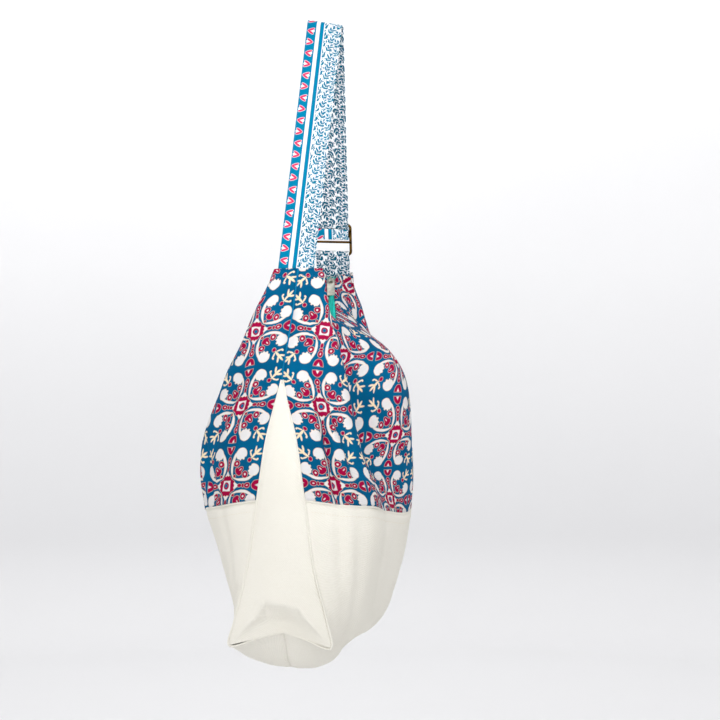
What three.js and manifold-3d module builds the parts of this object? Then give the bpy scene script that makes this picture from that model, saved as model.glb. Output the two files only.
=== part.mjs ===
// A cotton shoulder bag, filled out and hanging by its strap.
// Millimetres, +Z up. X runs along the bag from its near end to its far end, and its front faces -Y.
// The origin is under the bend of the strap, where a hook or a shoulder carries the bag.

import * as THREE from 'three';
import { mergeVertices } from 'three/addons/utils/BufferGeometryUtils.js';
import Module from 'manifold-3d';

const wasm = await Module();
wasm.setup();

// Cloth and hardware sizes
const cottonThick = 1.6;
const canvasThick = 1.8;
const tapeThick = 1.0;
const strapThick = 1.6;
const strapWidth = 40;
const bendRadius = 6;
const footReach = 96.2;
const nearFootDrop = 284;
const farFootDrop = 277;
const footTuck = 13;
const footSplay = 1.4;
const bagShift = 10;
const leanSlope = bagShift / nearFootDrop;
const foldTilt = 0.12;
const foldTiltFade = 70;
const seamGap = 0.45;
const seamInset = 0.012;
const cornerInset = 0.045;
const zipSway = -14;
const farLift = 0.035;

// Levels of the bag body, from the mouth down to the seam under it. x, z and edge place the end seam and
// half the gusset there, sway moves both back, ridge and tuck are the rounded corner and the hollow
// behind it, mid is the middle of the bag, and blunt says how far the end rounds off.
const levels = table(
  ['x', 'z', 'edge', 'sway', 'ridgeX', 'ridgeZ', 'tuckX', 'tuckZ', 'midZ', 'blunt'],
  [
    [100, -284, 0, 0, 97.5, -285, 87, -290, -345, 0.06],
    [110, -325, 0, 3, 101, -328, 72, -342, -356, 0.1],
    [119, -362, 0, 7, 104, -366, 64, -374, -381, 0.12],
    [128, -398, 0, 11, 106, -404, 61, -414, -420, 0.16],
    [145, -466, 16, 9, 106, -473, 60, -484, -490, 0.25],
    [160, -526, 25, 6, 112, -536, 60, -551, -560, 0.32],
    [174, -600, 36, 3, 122, -612, 62, -626, -632, 0.36],
    [186, -650, 49, 0, 130, -672, 66, -682, -685, 0.36],
    [190, -675, 53.5, 0, 134, -694, 68, -700, -701, 0.36],
    [190, -669, 27, 0, 134, -705, 68, -710, -710, 0.36],
    [190, -663, 0, 0, 134, -708, 68, -713, -714, 0.36],
  ],
);

// Half widths of each side at the rounded near corner, the tucks, the middle and the far corner
const widthNames = ['near', 'nearTuck', 'mid', 'farTuck', 'far'];
const frontWidths = table(widthNames, [
  [26, 7, 7, 7, 26],
  [33, 17, 52, 34, 35],
  [42, 25, 81, 63, 46],
  [52, 35, 96, 87, 60],
  [66, 55, 102, 99, 77],
  [84, 89, 101, 98, 86],
  [77, 83, 90, 87, 77],
  [60, 62, 63, 62, 60],
  [50, 44, 42, 44, 50],
  [26, 23, 22, 23, 26],
  [0, 0, 0, 0, 0],
]);
const backWidths = table(widthNames, [
  [27, 7, 7, 7, 26],
  [43, 36, 36, 34, 38],
  [60, 62, 70, 60, 52],
  [80, 88, 94, 84, 70],
  [105, 112, 111, 104, 92],
  [101, 106, 106, 103, 96],
  [77, 86, 90, 88, 82],
  [58, 66, 71, 70, 64],
  [53, 53, 53, 53, 53],
  [27, 27, 27, 27, 27],
  [0, 0, 0, 0, 0],
]);
const apexLevel = 3;
const baseLevel = 5;
const cornerLevel = 8;
const seamLevel = levels.length - 1;
const lastStation = 8;

// Creases, each a groove or a ridge from one station and level to another
const creases = table(
  ['side', 'fromS', 'fromT', 'toS', 'toT', 'depth', 'width'],
  [
    [-1, 1.3, 3.3, 1.6, 4.5, -5, 9],
    [-1, 1.0, 3.2, 1.3, 4.5, 3, 10],
    [1, 1.35, 3.0, 1.5, 4.1, -6, 10],
    [1, 3.2, 0.8, 3.5, 2.6, -6, 16],
    [-1, 5.3, 1.2, 5.6, 2.8, -6, 16],
  ],
);

// Where a rounded end passes between its seam and its ridge
const endOut = 0.55;
const endSway = 0.6;
const endDrop = 0.4;

// Gusset shape: how far it bows out, and the dent above its arched lower seam
const gussetTop = apexLevel + 0.16;
const gussetFoot = cornerLevel - 0.045;
const gussetGap = 1.2;
const gussetBow = 5;
const gussetArch = 12;
const dentDepth = 11;
const dentLevel = 7.35;
const dentTall = 0.75;
const dentWide = 0.34;

// Brass strap slider: heights of its bars and windows from the top, and its frame
const sliderWidth = 47.6;
const sliderThick = 2;
const sliderCorner = 5;
const sideBar = 3.2;
const barHeights = { top: 2.4, weave: 6, sewing: 8.4, turn: 4.4, bare: 2.4, open: 12.4, bottom: 3 };
const windowCorner = 1;
const sliderRise = 19.5;
const sliderClear = 0.4;
const loopSink = 0.4;
const runIn = 13;
const tailShort = 1.6;
const shortHem = 6;
const shortJoin = 9;
const shortLift = 0.8;

// Zip: teeth, slider and pull tab
const zipHalf = 7;
const zipFrom = 3.06;
const zipTo = 4.94;
const tapeHem = 0.09;
const teethHalf = 2.6;
const teethThick = 1.6;
const tapeGap = 0.3;
const zipSliderStation = 4.8;
const zipSliderLong = 11;
const zipSliderHalf = 4.4;
const zipSliderWall = 1.2;
const zipSliderSlant = 0.8;
const bridgeWide = 2.4;
const bridgeLong = 8;
const bridgeRise = 4;
const bridgeWire = 1.3;
const bridgeSink = 0.5;
const pullLong = 26;
const pullWide = 9;
const pullThick = 1.4;
const pullHoleHalf = 2.3;
const pullHoleLong = 4;
const pullRimHalf = 0.7;
const pullClear = 0.5;

// Finishes
const print = finish('#2f7fae', 0.85, 0);
const canvas = finish('#efece2', 0.9, 0);
const strapCloth = finish('#8fc3dc', 0.85, 0);
const teal = finish('#1fae9d', 0.7, 0);
const silver = finish('#c9c5ba', 0.3, 1);
const brass = finish('#5c4312', 0.4, 1);

function table(names, rows) {
  return rows.map((row) => Object.fromEntries(names.map((name, i) => [name, row[i]])));
}

function finish(color, roughness, metalness) {
  return new THREE.MeshStandardMaterial({ color, roughness, metalness });
}

function mix(a, b, share) {
  return a + (b - a) * share;
}

function through(points) {
  return new THREE.CatmullRomCurve3(points, false, 'centripetal');
}

// Spreads 0 to 1 over stations, with the given number of cells between each station and the next
function spread(first, cells) {
  const total = cells.reduce((sum, count) => sum + count, 0);
  return (share) => {
    let left = share * total;
    let step = 0;
    while (step < cells.length - 1 && left > cells[step]) {
      left -= cells[step];
      step += 1;
    }
    return first + step + left / cells[step];
  };
}

// The line of one side at one level, from the near end seam round to the far one
function levelLine(level, widths, side) {
  const middleSway = (level === levels[0]) ? zipSway : 0;
  const corner = (end, width) => {
    const y = side * mix(level.edge, width, endOut) + level.sway * endSway;
    const x = end * mix(level.x, level.ridgeX, level.blunt);
    return new THREE.Vector3(x, y, mix(level.z, level.ridgeZ, endDrop));
  };
  return through([
    new THREE.Vector3(-level.x, side * level.edge + level.sway, level.z),
    corner(-1, widths.near),
    new THREE.Vector3(-level.ridgeX, side * widths.near, level.ridgeZ),
    new THREE.Vector3(-level.tuckX, side * widths.nearTuck, level.tuckZ),
    new THREE.Vector3(0, side * widths.mid + middleSway, level.midZ),
    new THREE.Vector3(level.tuckX, side * widths.farTuck, level.tuckZ),
    new THREE.Vector3(level.ridgeX, side * widths.far, level.ridgeZ),
    corner(1, widths.far),
    new THREE.Vector3(level.x, side * level.edge + level.sway, level.z),
  ]);
}

function sideLines(widths, side) {
  return levels.map((level, i) => levelLine(level, widths[i], side));
}

const seamSway = through(levels.map((level) => new THREE.Vector3(level.x, level.sway, level.z)));
const lines = { '-1': sideLines(frontWidths, -1), 1: sideLines(backWidths, 1) };

function smoothSkin(side, s, t) {
  const points = lines[side].map((line) => line.getPoint(s / lastStation));
  const point = through(points).getPoint(t / seamLevel);
  point.z += farLift * (point.x + footReach);
  if (s < 1 || s > lastStation - 1) {
    const seam = seamSway.getPoint(t / seamLevel).y;
    point.y = seam + side * Math.max(side * (point.y - seam), seamGap);
  }
  return point;
}

const foldLines = creases.map((crease) => ({
  ...crease,
  line: new THREE.Line3(
    smoothSkin(crease.side, crease.fromS, crease.fromT),
    smoothSkin(crease.side, crease.toS, crease.toT),
  ),
}));

// The side of the bag with its creases, s from 0 at the near seam to 8 at the far one, t the level
function skin(side, s, t) {
  const point = smoothSkin(side, s, t);
  const nearest = new THREE.Vector3();
  let push = 0;
  for (const fold of foldLines.filter((row) => row.side === side)) {
    fold.line.closestPointToPoint(point, true, nearest);
    push += fold.depth * Math.exp(-((nearest.distanceTo(point) / fold.width) ** 2));
  }
  point.y += side * push;
  return point;
}

function normalAt(place, a, b) {
  const step = 0.003;
  const along = place(Math.min(a + step, 1), b).sub(place(Math.max(a - step, 0), b));
  const across = place(a, Math.min(b + step, 1)).sub(place(a, Math.max(b - step, 0)));
  return along.cross(across).normalize();
}

// A closed wall: a box of cols by rows cells, bent onto the surface that place gives for 0 to 1 each way
function wall(name, place, cols, rows, thick, material) {
  const box = new THREE.BoxGeometry(1, 1, 1, cols, rows, 1);
  box.deleteAttribute('normal');
  box.deleteAttribute('uv');
  const geometry = mergeVertices(box);
  const spots = geometry.attributes.position;
  for (let i = 0; i < spots.count; i += 1) {
    const a = spots.getX(i) + 0.5;
    const b = spots.getY(i) + 0.5;
    const point = place(a, b);
    point.addScaledVector(normalAt(place, a, b), spots.getZ(i) * thick);
    spots.setXYZ(i, point.x, point.y, point.z);
  }
  return part(name, geometry, material);
}

function part(name, geometry, material) {
  const mesh = new THREE.Mesh(geometry, material);
  mesh.name = name;
  return mesh;
}

function solid(geometry) {
  const bare = new THREE.BufferGeometry();
  bare.setAttribute('position', geometry.attributes.position);
  bare.setIndex(geometry.index);
  const merged = mergeVertices(bare);
  const index = merged.index.array;
  return new wasm.Manifold(new wasm.Mesh({
    numProp: 3,
    vertProperties: new Float32Array(merged.attributes.position.array),
    triVerts: new Uint32Array(index),
  }));
}

function shapeOf(manifold) {
  const mesh = manifold.getMesh();
  const geometry = new THREE.BufferGeometry();
  geometry.setAttribute('position', new THREE.BufferAttribute(mesh.vertProperties, 3));
  geometry.setIndex(new THREE.BufferAttribute(mesh.triVerts, 1));
  return geometry;
}

// One printed or cream side between two levels
function sidePanel(name, side, fromT, toT, colCells, rowCells, thick, material) {
  const station = spread(0, colCells);
  const level = spread(fromT, rowCells);
  const cols = colCells.reduce((sum, count) => sum + count, 0);
  const rows = rowCells.reduce((sum, count) => sum + count, 0);
  const place = (a, b) => {
    const t = mix(fromT + seamInset, toT - seamInset, (level(b) - fromT) / (toT - fromT));
    const inset = cornerInset * THREE.MathUtils.smoothstep(t, apexLevel, apexLevel + 0.6);
    const s = mix(inset, lastStation - inset, station(a) / lastStation);
    return skin(side, s, t);
  };
  return wall(name, place, cols, rows, thick, material);
}

// A gusset between the two sides at one end, bowed out above and dented above its arched lower seam
function gusset(name, end, material) {
  const station = (end < 0) ? 0 : lastStation;
  const place = (a, b) => {
    const t = mix(gussetTop, gussetFoot, b);
    const front = smoothSkin(-1, station, t);
    const back = smoothSkin(1, station, t);
    const half = front.distanceTo(back) / 2;
    const inset = gussetGap / (2 * half);
    const point = front.lerp(back, mix(inset, 1 - inset, a));
    const v = 2 * a - 1;
    const rise = THREE.MathUtils.smoothstep(t, dentLevel - 1, cornerLevel);
    const dent = Math.exp(-((v / dentWide) ** 2) - (((t - dentLevel) / dentTall) ** 2));
    const bow = gussetBow * (1 - v * v) * THREE.MathUtils.smoothstep(half, 4, 25) * (1 - rise);
    point.x += end * (bow - dentDepth * dent);
    point.z += gussetArch * (1 - v * v) * rise;
    return point;
  };
  return wall(name, place, 8, 14, canvasThick, material);
}

// Straight run from a foot of the strap to where it meets the bend
const bendLine = bendRadius + strapThick / 2;

function strapRun(foot) {
  const centre = new THREE.Vector2(0, -bendRadius);
  const toCentre = centre.clone().sub(foot);
  const swing = Math.asin(bendLine / toCentre.length()) * Math.sign(foot.x) * -1;
  const up = toCentre.clone().normalize().rotateAround(new THREE.Vector2(), swing);
  const long = Math.sqrt(toCentre.lengthSq() - bendLine * bendLine);
  return { foot, up, long, top: foot.clone().addScaledVector(up, long) };
}

const nearRun = strapRun(new THREE.Vector2(-footReach, -nearFootDrop));
const farRun = strapRun(new THREE.Vector2(footReach, -farFootDrop));
const inward = new THREE.Vector2(-farRun.up.y, farRun.up.x);

// A spot on the far run: up from its foot, and in towards the near side
function farSpot(up, into) {
  return farRun.foot.clone().addScaledVector(farRun.up, up).addScaledVector(inward, into);
}

function steps(curve, count) {
  return Array.from({ length: count }, (unused, i) => curve.getPoint(i / count));
}

// Heights of the slider's bars above the far foot, counted down from its top edge
const barTops = {};
let barTop = sliderRise + Object.values(barHeights).reduce((sum, height) => sum + height, 0);
for (const [bar, height] of Object.entries(barHeights)) {
  barTops[bar] = barTop;
  barTop -= height;
}
const strapOff = sliderThick / 2 + sliderClear + strapThick / 2;

// The strap leans sideways from its bend to its feet, square to the lean, and its bend tips a little
function strapPlace(spot, across) {
  const drop = Math.max(0, -spot.y);
  const tip = foldTilt * across * Math.exp(-drop / foldTiltFade);
  const square = leanSlope * across * THREE.MathUtils.smoothstep(drop, 0, foldTiltFade);
  const { up } = (spot.x < 0) ? nearRun : farRun;
  return new THREE.Vector3(spot.x + up.x * square, across + leanSlope * drop, spot.y + up.y * square + tip);
}

function strapPiece(name, spots, material) {
  const last = spots.length - 1;
  const place = (a, b) => {
    const at = b * last;
    const i = Math.min(Math.floor(at), last - 1);
    const spot = spots[i].clone().lerp(spots[i + 1], at - i);
    return strapPlace(spot, mix(-strapWidth / 2, strapWidth / 2, a));
  };
  return wall(name, place, 2, last, strapThick, material);
}

function longStrap() {
  const tucked = nearRun.foot.clone().add(new THREE.Vector2(-footSplay, -footTuck));
  const startAngle = Math.atan2(nearRun.top.y + bendRadius, nearRun.top.x);
  const endAngle = Math.atan2(farRun.top.y + bendRadius, farRun.top.x);
  const bend = new THREE.EllipseCurve(0, -bendRadius, bendLine, bendLine, startAngle, endAngle, true);
  const weaveFrom = barTops.weave + 1;
  const weaveTo = barTops.sewing - 1;
  const weave = new THREE.CubicBezierCurve(
    farSpot(weaveFrom, strapOff),
    farSpot(barTops.sewing + 1, strapOff),
    farSpot(barTops.weave - 1, -strapOff),
    farSpot(weaveTo, -strapOff),
  );
  const turnRise = barTops.turn + loopSink;
  return strapPiece('strap_long', [
    tucked,
    ...steps(new THREE.LineCurve(nearRun.foot, nearRun.top), 14),
    ...steps(bend, 10),
    ...steps(new THREE.LineCurve(farRun.top, farSpot(barTops.top + runIn, 0)), 9),
    farSpot(barTops.top + runIn, 0),
    farSpot(barTops.top, strapOff),
    ...steps(weave, 12),
    farSpot(weaveTo, -strapOff),
    ...loopSpots(turnRise, -1),
    farSpot(barTops.sewing - tailShort, strapOff),
  ], strapCloth);
}

function shortStrap() {
  const foldRise = barTops.bottom - loopSink;
  return strapPiece('strap_short', [
    farRun.foot.clone().add(new THREE.Vector2(footSplay, -footTuck)),
    farRun.foot,
    farSpot(shortJoin, shortLift),
    farSpot(sliderRise - strapOff, strapOff),
    ...loopSpots(foldRise, 1).reverse(),
    farSpot(sliderRise - strapOff, -strapOff),
    farSpot(shortHem, -strapOff),
  ], strapCloth);
}

// Half a turn round a bar of the slider, from its outer side to its inner side
function loopSpots(rise, sense) {
  return Array.from({ length: 9 }, (unused, i) => {
    const angle = Math.PI * i / 8;
    return farSpot(rise + sense * strapOff * Math.sin(angle), -strapOff * Math.cos(angle));
  });
}

function roundedBox(outline, left, low, right, high, radius) {
  outline.moveTo(left + radius, low);
  outline.lineTo(right - radius, low);
  outline.absarc(right - radius, low + radius, radius, -Math.PI / 2, 0, false);
  outline.lineTo(right, high - radius);
  outline.absarc(right - radius, high - radius, radius, 0, Math.PI / 2, false);
  outline.lineTo(left + radius, high);
  outline.absarc(left + radius, high - radius, radius, Math.PI / 2, Math.PI, false);
  outline.lineTo(left, low + radius);
  outline.absarc(left + radius, low + radius, radius, Math.PI, Math.PI * 1.5, false);
  return outline;
}

// The slider lies in the plane of the far run, its bars across the strap
function strapSlider() {
  const half = sliderWidth / 2;
  const inner = half - sideBar;
  const high = barTops.top;
  const frame = roundedBox(new THREE.Shape(), -half, sliderRise, half, high, sliderCorner);
  for (const gap of ['weave', 'turn', 'open']) {
    const top = barTops[gap];
    frame.holes.push(roundedBox(new THREE.Path(), -inner, top - barHeights[gap], inner, top, windowCorner));
  }
  const geometry = new THREE.ExtrudeGeometry(frame, {
    depth: sliderThick, bevelEnabled: false, curveSegments: 4,
  });
  geometry.translate(0, 0, -sliderThick / 2);
  const across = new THREE.Vector3(0, 1, 0);
  const up = new THREE.Vector3(farRun.up.x, -leanSlope * farRun.up.y, farRun.up.y).normalize();
  const out = new THREE.Vector3().crossVectors(across, up).normalize();
  across.crossVectors(up, out);
  const slider = part('strap_slider', shapeOf(solid(geometry)), brass);
  const foot = strapPlace(farRun.foot, 0);
  slider.applyMatrix4(new THREE.Matrix4().makeBasis(across, up, out).setPosition(foot));
  return slider;
}

// The strip between the two printed edges at the mouth: share 0 at the front edge, 1 at the back edge
function mouth(share, s) {
  const front = smoothSkin(-1, s, 0);
  return front.lerp(smoothSkin(1, s, 0), share);
}

function zipStrip(name, fromShare, toShare, lift, thick, material) {
  const place = (a, b) => {
    const share = mix(fromShare, toShare, a);
    const s = mix(zipFrom, zipTo, b);
    const point = mouth(share, s);
    const across = mouth(1, s).sub(mouth(0, s)).normalize();
    const along = mouth(0.5, s + 0.02).sub(mouth(0.5, s - 0.02)).normalize();
    return point.addScaledVector(along.cross(across), lift);
  };
  return wall(name, place, 1, 30, thick, material);
}

// The place and slope of the zip where its slider sits: x along the zip, y across it, z out of it
function zipFrame() {
  const along = mouth(0.5, zipSliderStation + 0.03).sub(mouth(0.5, zipSliderStation - 0.03)).normalize();
  const across = new THREE.Vector3(0, 1, 0);
  const out = along.clone().cross(across).normalize();
  across.crossVectors(out, along);
  const group = new THREE.Group();
  const basis = new THREE.Matrix4().makeBasis(along, across, out);
  group.applyMatrix4(basis.setPosition(mouth(0.5, zipSliderStation)));
  return group;
}

function extrudeAcross(outline, width) {
  const geometry = new THREE.ExtrudeGeometry(outline, {
    depth: width, bevelEnabled: false, curveSegments: 6,
  });
  geometry.translate(0, 0, -width / 2);
  return geometry;
}

const teethTop = tapeThick / 2 + tapeGap + teethThick;
const sliderUnder = teethTop + tapeGap;
const hingeRise = sliderUnder + zipSliderWall + (bridgeRise - bridgeWire) / 2;
const hingeAlong = 2 * bridgeWire - bridgeLong / 2;

// A channel over the teeth with an arched bridge on top
function zipSlider() {
  const low = tapeThick / 2 + tapeGap;
  const high = sliderUnder + zipSliderWall;
  const channel = new THREE.Shape();
  channel.moveTo(-zipSliderHalf, low);
  channel.lineTo(-teethHalf - tapeGap, low);
  channel.lineTo(-teethHalf - tapeGap, sliderUnder);
  channel.lineTo(teethHalf + tapeGap, sliderUnder);
  channel.lineTo(teethHalf + tapeGap, low);
  channel.lineTo(zipSliderHalf, low);
  channel.lineTo(zipSliderHalf - zipSliderSlant, high);
  channel.lineTo(zipSliderSlant - zipSliderHalf, high);
  channel.closePath();
  const body = extrudeAcross(channel, zipSliderLong);
  body.rotateX(Math.PI / 2);
  body.rotateZ(Math.PI / 2);
  const arch = new THREE.Shape();
  const half = bridgeLong / 2;
  const inner = half - bridgeWire;
  arch.moveTo(-half, high - bridgeSink);
  arch.lineTo(-half, high + bridgeRise - bridgeWire);
  arch.lineTo(bridgeWire - half, high + bridgeRise);
  arch.lineTo(half - bridgeWire, high + bridgeRise);
  arch.lineTo(half, high + bridgeRise - bridgeWire);
  arch.lineTo(half, high - bridgeSink);
  arch.lineTo(inner, high - bridgeSink);
  arch.lineTo(inner, high + bridgeRise - bridgeWire);
  arch.lineTo(-inner, high + bridgeRise - bridgeWire);
  arch.lineTo(-inner, high - bridgeSink);
  arch.closePath();
  const bridge = extrudeAcross(arch, bridgeWide);
  bridge.rotateX(Math.PI / 2);
  return part('zip_slider', shapeOf(solid(body).add(solid(bridge))), silver);
}

// The tab hangs on the bridge by the rim of its hole and lies back along the teeth
function zipPull(zip) {
  const half = pullWide / 2;
  const tab = roundedBox(new THREE.Shape(), -half, -pullLong, half, pullRimHalf, pullRimHalf);
  const hole = new THREE.Path();
  tab.holes.push(roundedBox(
    hole, -pullHoleHalf, -pullRimHalf - pullHoleLong, pullHoleHalf, -pullRimHalf, pullRimHalf / 2,
  ));
  const pull = part('zip_pull', shapeOf(solid(extrudeAcross(tab, pullThick))), silver);
  pull.position.set(hingeAlong, 0, hingeRise);
  pull.rotation.set(0, pullSlope(zip), -Math.PI / 2);
  return pull;
}

// The tab's slope to the zip where it lies clear of the teeth, which curve up towards its end
function pullSlope(zip) {
  let slope = -Math.PI / 8;
  for (let s = 3.6; s < zipSliderStation; s += 0.02) {
    const spot = zip.worldToLocal(mouth(0.5, s));
    const away = hingeAlong - spot.x;
    if (away > pullHoleLong && away < pullLong + 1) {
      const lowest = spot.z + teethTop + pullClear + pullThick / 2;
      slope = Math.max(slope, Math.atan2(lowest - hingeRise, away));
    }
  }
  return slope;
}

const bag = new THREE.Group();
const body = new THREE.Group();
body.position.y = bagShift;
bag.add(body);

const panelCells = [3, 4, 6, 6, 6, 5, 3, 3];
const baseCells = [3, 4, 5, 5, 5, 5, 4, 3];
for (const [sideName, side] of [['front', -1], ['back', 1]]) {
  body.add(sidePanel(
    `${sideName}_panel`, side, 0, baseLevel, panelCells, [3, 3, 2, 3, 3], cottonThick, print,
  ));
  body.add(sidePanel(
    `${sideName}_base`, side, baseLevel, seamLevel, baseCells, [3, 2, 2, 2, 2], canvasThick, canvas,
  ));
}
body.add(gusset('gusset_near', -1, canvas));
body.add(gusset('gusset_far', 1, canvas));

const tapeEdge = tapeGap / (2 * zipHalf);
body.add(zipStrip('zip_tape_front', tapeHem, 0.5 - tapeEdge, 0, tapeThick, teal));
body.add(zipStrip('zip_tape_back', 0.5 + tapeEdge, 1 - tapeHem, 0, tapeThick, teal));
const teethShare = teethHalf / (2 * zipHalf);
const teethLift = tapeThick / 2 + tapeGap + teethThick / 2;
body.add(zipStrip('zip_teeth', 0.5 - teethShare, 0.5 + teethShare, teethLift, teethThick, teal));

const zip = zipFrame();
zip.updateMatrixWorld();
zip.add(zipSlider());
zip.add(zipPull(zip));
body.add(zip);

bag.add(longStrap());
bag.add(shortStrap());
bag.add(strapSlider());

export default bag;
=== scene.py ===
# %% [markdown]
# # A cotton shoulder bag
# The bag hangs by its wide strap. Its upper half is printed cotton, its lower half and its ends are cream
# canvas, a teal zip closes the mouth, and a brass slider sets the length of the strap.
# The solids of the frame already have the size and the main folds. This lesson dresses them: each cloth
# piece is laid again on the same surface with a finer grid, and gets its hems, stitches and finish.

import math

import bmesh
import bpy
import numpy as np
from mathutils import Matrix, Vector, noise


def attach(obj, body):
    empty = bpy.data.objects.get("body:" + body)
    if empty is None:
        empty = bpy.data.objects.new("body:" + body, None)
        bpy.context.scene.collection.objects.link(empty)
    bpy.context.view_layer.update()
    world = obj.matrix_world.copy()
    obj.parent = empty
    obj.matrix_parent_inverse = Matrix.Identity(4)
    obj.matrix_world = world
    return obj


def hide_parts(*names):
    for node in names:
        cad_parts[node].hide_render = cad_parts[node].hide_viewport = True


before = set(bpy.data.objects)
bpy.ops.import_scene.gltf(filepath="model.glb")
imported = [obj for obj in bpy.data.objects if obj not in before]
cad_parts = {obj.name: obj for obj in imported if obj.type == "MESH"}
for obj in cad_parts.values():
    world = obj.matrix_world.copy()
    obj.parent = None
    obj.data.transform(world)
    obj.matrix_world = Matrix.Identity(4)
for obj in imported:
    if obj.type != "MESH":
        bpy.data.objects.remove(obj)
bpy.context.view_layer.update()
MM = 0.001

# %% [markdown]
# ## Camera
# The photo was taken almost end-on with a long lens held level at the middle of the bag. Blender could
# aim a camera with a Track To constraint. Here its turn is computed once, so nothing stays linked.

# %% Camera
CAMERA_SPOT = (-1.7659, -0.3514, -0.384)
CAMERA_TURN = math.radians(10)
SENSOR = 36.0
FOCAL_PIXELS = 1575
FRAME_PIXELS = 720

eye = bpy.data.objects.new("eye", bpy.data.cameras.new("eye"))
eye.data.sensor_width = SENSOR
eye.data.lens = SENSOR * FOCAL_PIXELS / FRAME_PIXELS
eye.location = CAMERA_SPOT
looking = Vector((math.cos(CAMERA_TURN), math.sin(CAMERA_TURN), 0))
eye.rotation_euler = looking.to_track_quat("-Z", "Y").to_euler()
bpy.context.collection.objects.link(eye)
bpy.context.scene.camera = eye
bpy.context.scene.view_settings.view_transform = "Standard"
print("lens", round(eye.data.lens, 2), "mm")

# %% [markdown]
# ## The cut of the bag
# The body of the bag is a net of smooth curves. Eleven levels run from the mouth to the seam under the
# bag, and each level passes through nine stations from the near end seam to the far one. These are the
# same sizes that the solids were made with, in millimetres, so the new cloth lands exactly on them.

# %% Levels and widths of the bag
# x, z, edge, sway, ridge x, ridge z, tuck x, tuck z, middle z, blunt
LEVELS = [
    (100, -284, 0, 0, 97.5, -285, 87, -290, -345, 0.06),
    (110, -325, 0, 3, 101, -328, 72, -342, -356, 0.1),
    (119, -362, 0, 7, 104, -366, 64, -374, -381, 0.12),
    (128, -398, 0, 11, 106, -404, 61, -414, -420, 0.16),
    (145, -466, 16, 9, 106, -473, 60, -484, -490, 0.25),
    (160, -526, 25, 6, 112, -536, 60, -551, -560, 0.32),
    (174, -600, 36, 3, 122, -612, 62, -626, -632, 0.36),
    (186, -650, 49, 0, 130, -672, 66, -682, -685, 0.36),
    (190, -675, 53.5, 0, 134, -694, 68, -700, -701, 0.36),
    (190, -669, 27, 0, 134, -705, 68, -710, -710, 0.36),
    (190, -663, 0, 0, 134, -708, 68, -713, -714, 0.36),
]
# near ridge, near tuck, middle, far tuck, far ridge
WIDTHS = {
    -1: [
        (26, 7, 7, 7, 26), (33, 17, 52, 34, 35), (42, 25, 81, 63, 46), (52, 35, 96, 87, 60),
        (66, 55, 102, 99, 77), (84, 89, 101, 98, 86), (77, 83, 90, 87, 77), (60, 62, 63, 62, 60),
        (50, 44, 42, 44, 50), (26, 23, 22, 23, 26), (0, 0, 0, 0, 0),
    ],
    1: [
        (27, 7, 7, 7, 26), (43, 36, 36, 34, 38), (60, 62, 70, 60, 52), (80, 88, 94, 84, 70),
        (105, 112, 111, 104, 92), (101, 106, 106, 103, 96), (77, 86, 90, 88, 82), (58, 66, 71, 70, 64),
        (53, 53, 53, 53, 53), (27, 27, 27, 27, 27), (0, 0, 0, 0, 0),
    ],
}
# side, from station, from level, to station, to level, depth, width
CREASES = [
    (-1, 1.3, 3.3, 1.6, 4.5, -5, 9),
    (-1, 1.0, 3.2, 1.3, 4.5, 3, 10),
    (1, 1.35, 3.0, 1.5, 4.1, -6, 10),
    (1, 3.2, 0.8, 3.5, 2.6, -6, 16),
    (-1, 5.3, 1.2, 5.6, 2.8, -6, 16),
]
APEX, BASE, CORNER, SEAM, LAST = 3, 5, 8, 10, 8
END_OUT, END_SWAY, END_DROP = 0.55, 0.6, 0.4
ZIP_SWAY, SEAM_GAP, FAR_LIFT, BAG_SHIFT = -14, 0.45, 0.035, 10
FOOT_REACH, NEAR_DROP, FAR_DROP = 96.2, 284, 277
print(len(LEVELS), "levels and", len(CREASES), "large creases")

# %% [markdown]
# A curve through points could be a Bezier or NURBS curve object. The solids use the centripetal
# Catmull-Rom curve, which never loops back on itself, so the same one is written here for whole arrays.

# %% A smooth curve through points
def spline(points, u, own=False):
    """Points on smooth curves at u from 0 to 1. With own, curve k is read only at u[k]."""
    points = np.asarray(points, float)
    last = len(points) - 1
    padded = np.concatenate([[2 * points[0] - points[1]], points, [2 * points[-1] - points[-2]]])
    along = np.clip(np.asarray(u, float), 0, 1) * last
    i = np.minimum(along.astype(int), last - 1)
    picks = [padded[i + k, np.arange(len(i))] if own else padded[i + k] for k in range(4)]
    x0, x1, x2, x3 = picks
    w = (along - i).reshape(-1, *[1] * (x1.ndim - 1))

    def gap(p, q):
        return ((q - p) ** 2).sum(-1, keepdims=True) ** 0.25

    d1 = gap(x1, x2)
    d1 = np.where(d1 < 1e-4, 1, d1)
    d0 = gap(x0, x1)
    d0 = np.where(d0 < 1e-4, d1, d0)
    d2 = gap(x2, x3)
    d2 = np.where(d2 < 1e-4, d1, d2)
    t1 = ((x1 - x0) / d0 - (x2 - x0) / (d0 + d1) + (x2 - x1) / d1) * d1
    t2 = ((x2 - x1) / d1 - (x3 - x1) / (d1 + d2) + (x3 - x2) / d2) * d1
    return x1 + w * (t1 + w * (3 * (x2 - x1) - 2 * t1 - t2 + w * (2 * (x1 - x2) + t1 + t2)))


def smoothstep(x, low, high):
    x = np.clip((np.asarray(x, float) - low) / (high - low), 0, 1)
    return x * x * (3 - 2 * x)


def mix(a, b, share):
    return a + (b - a) * share


print("halfway through three points:", spline([(0, 0), (1, 1), (2, 0)], [0.5])[0])

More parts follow.
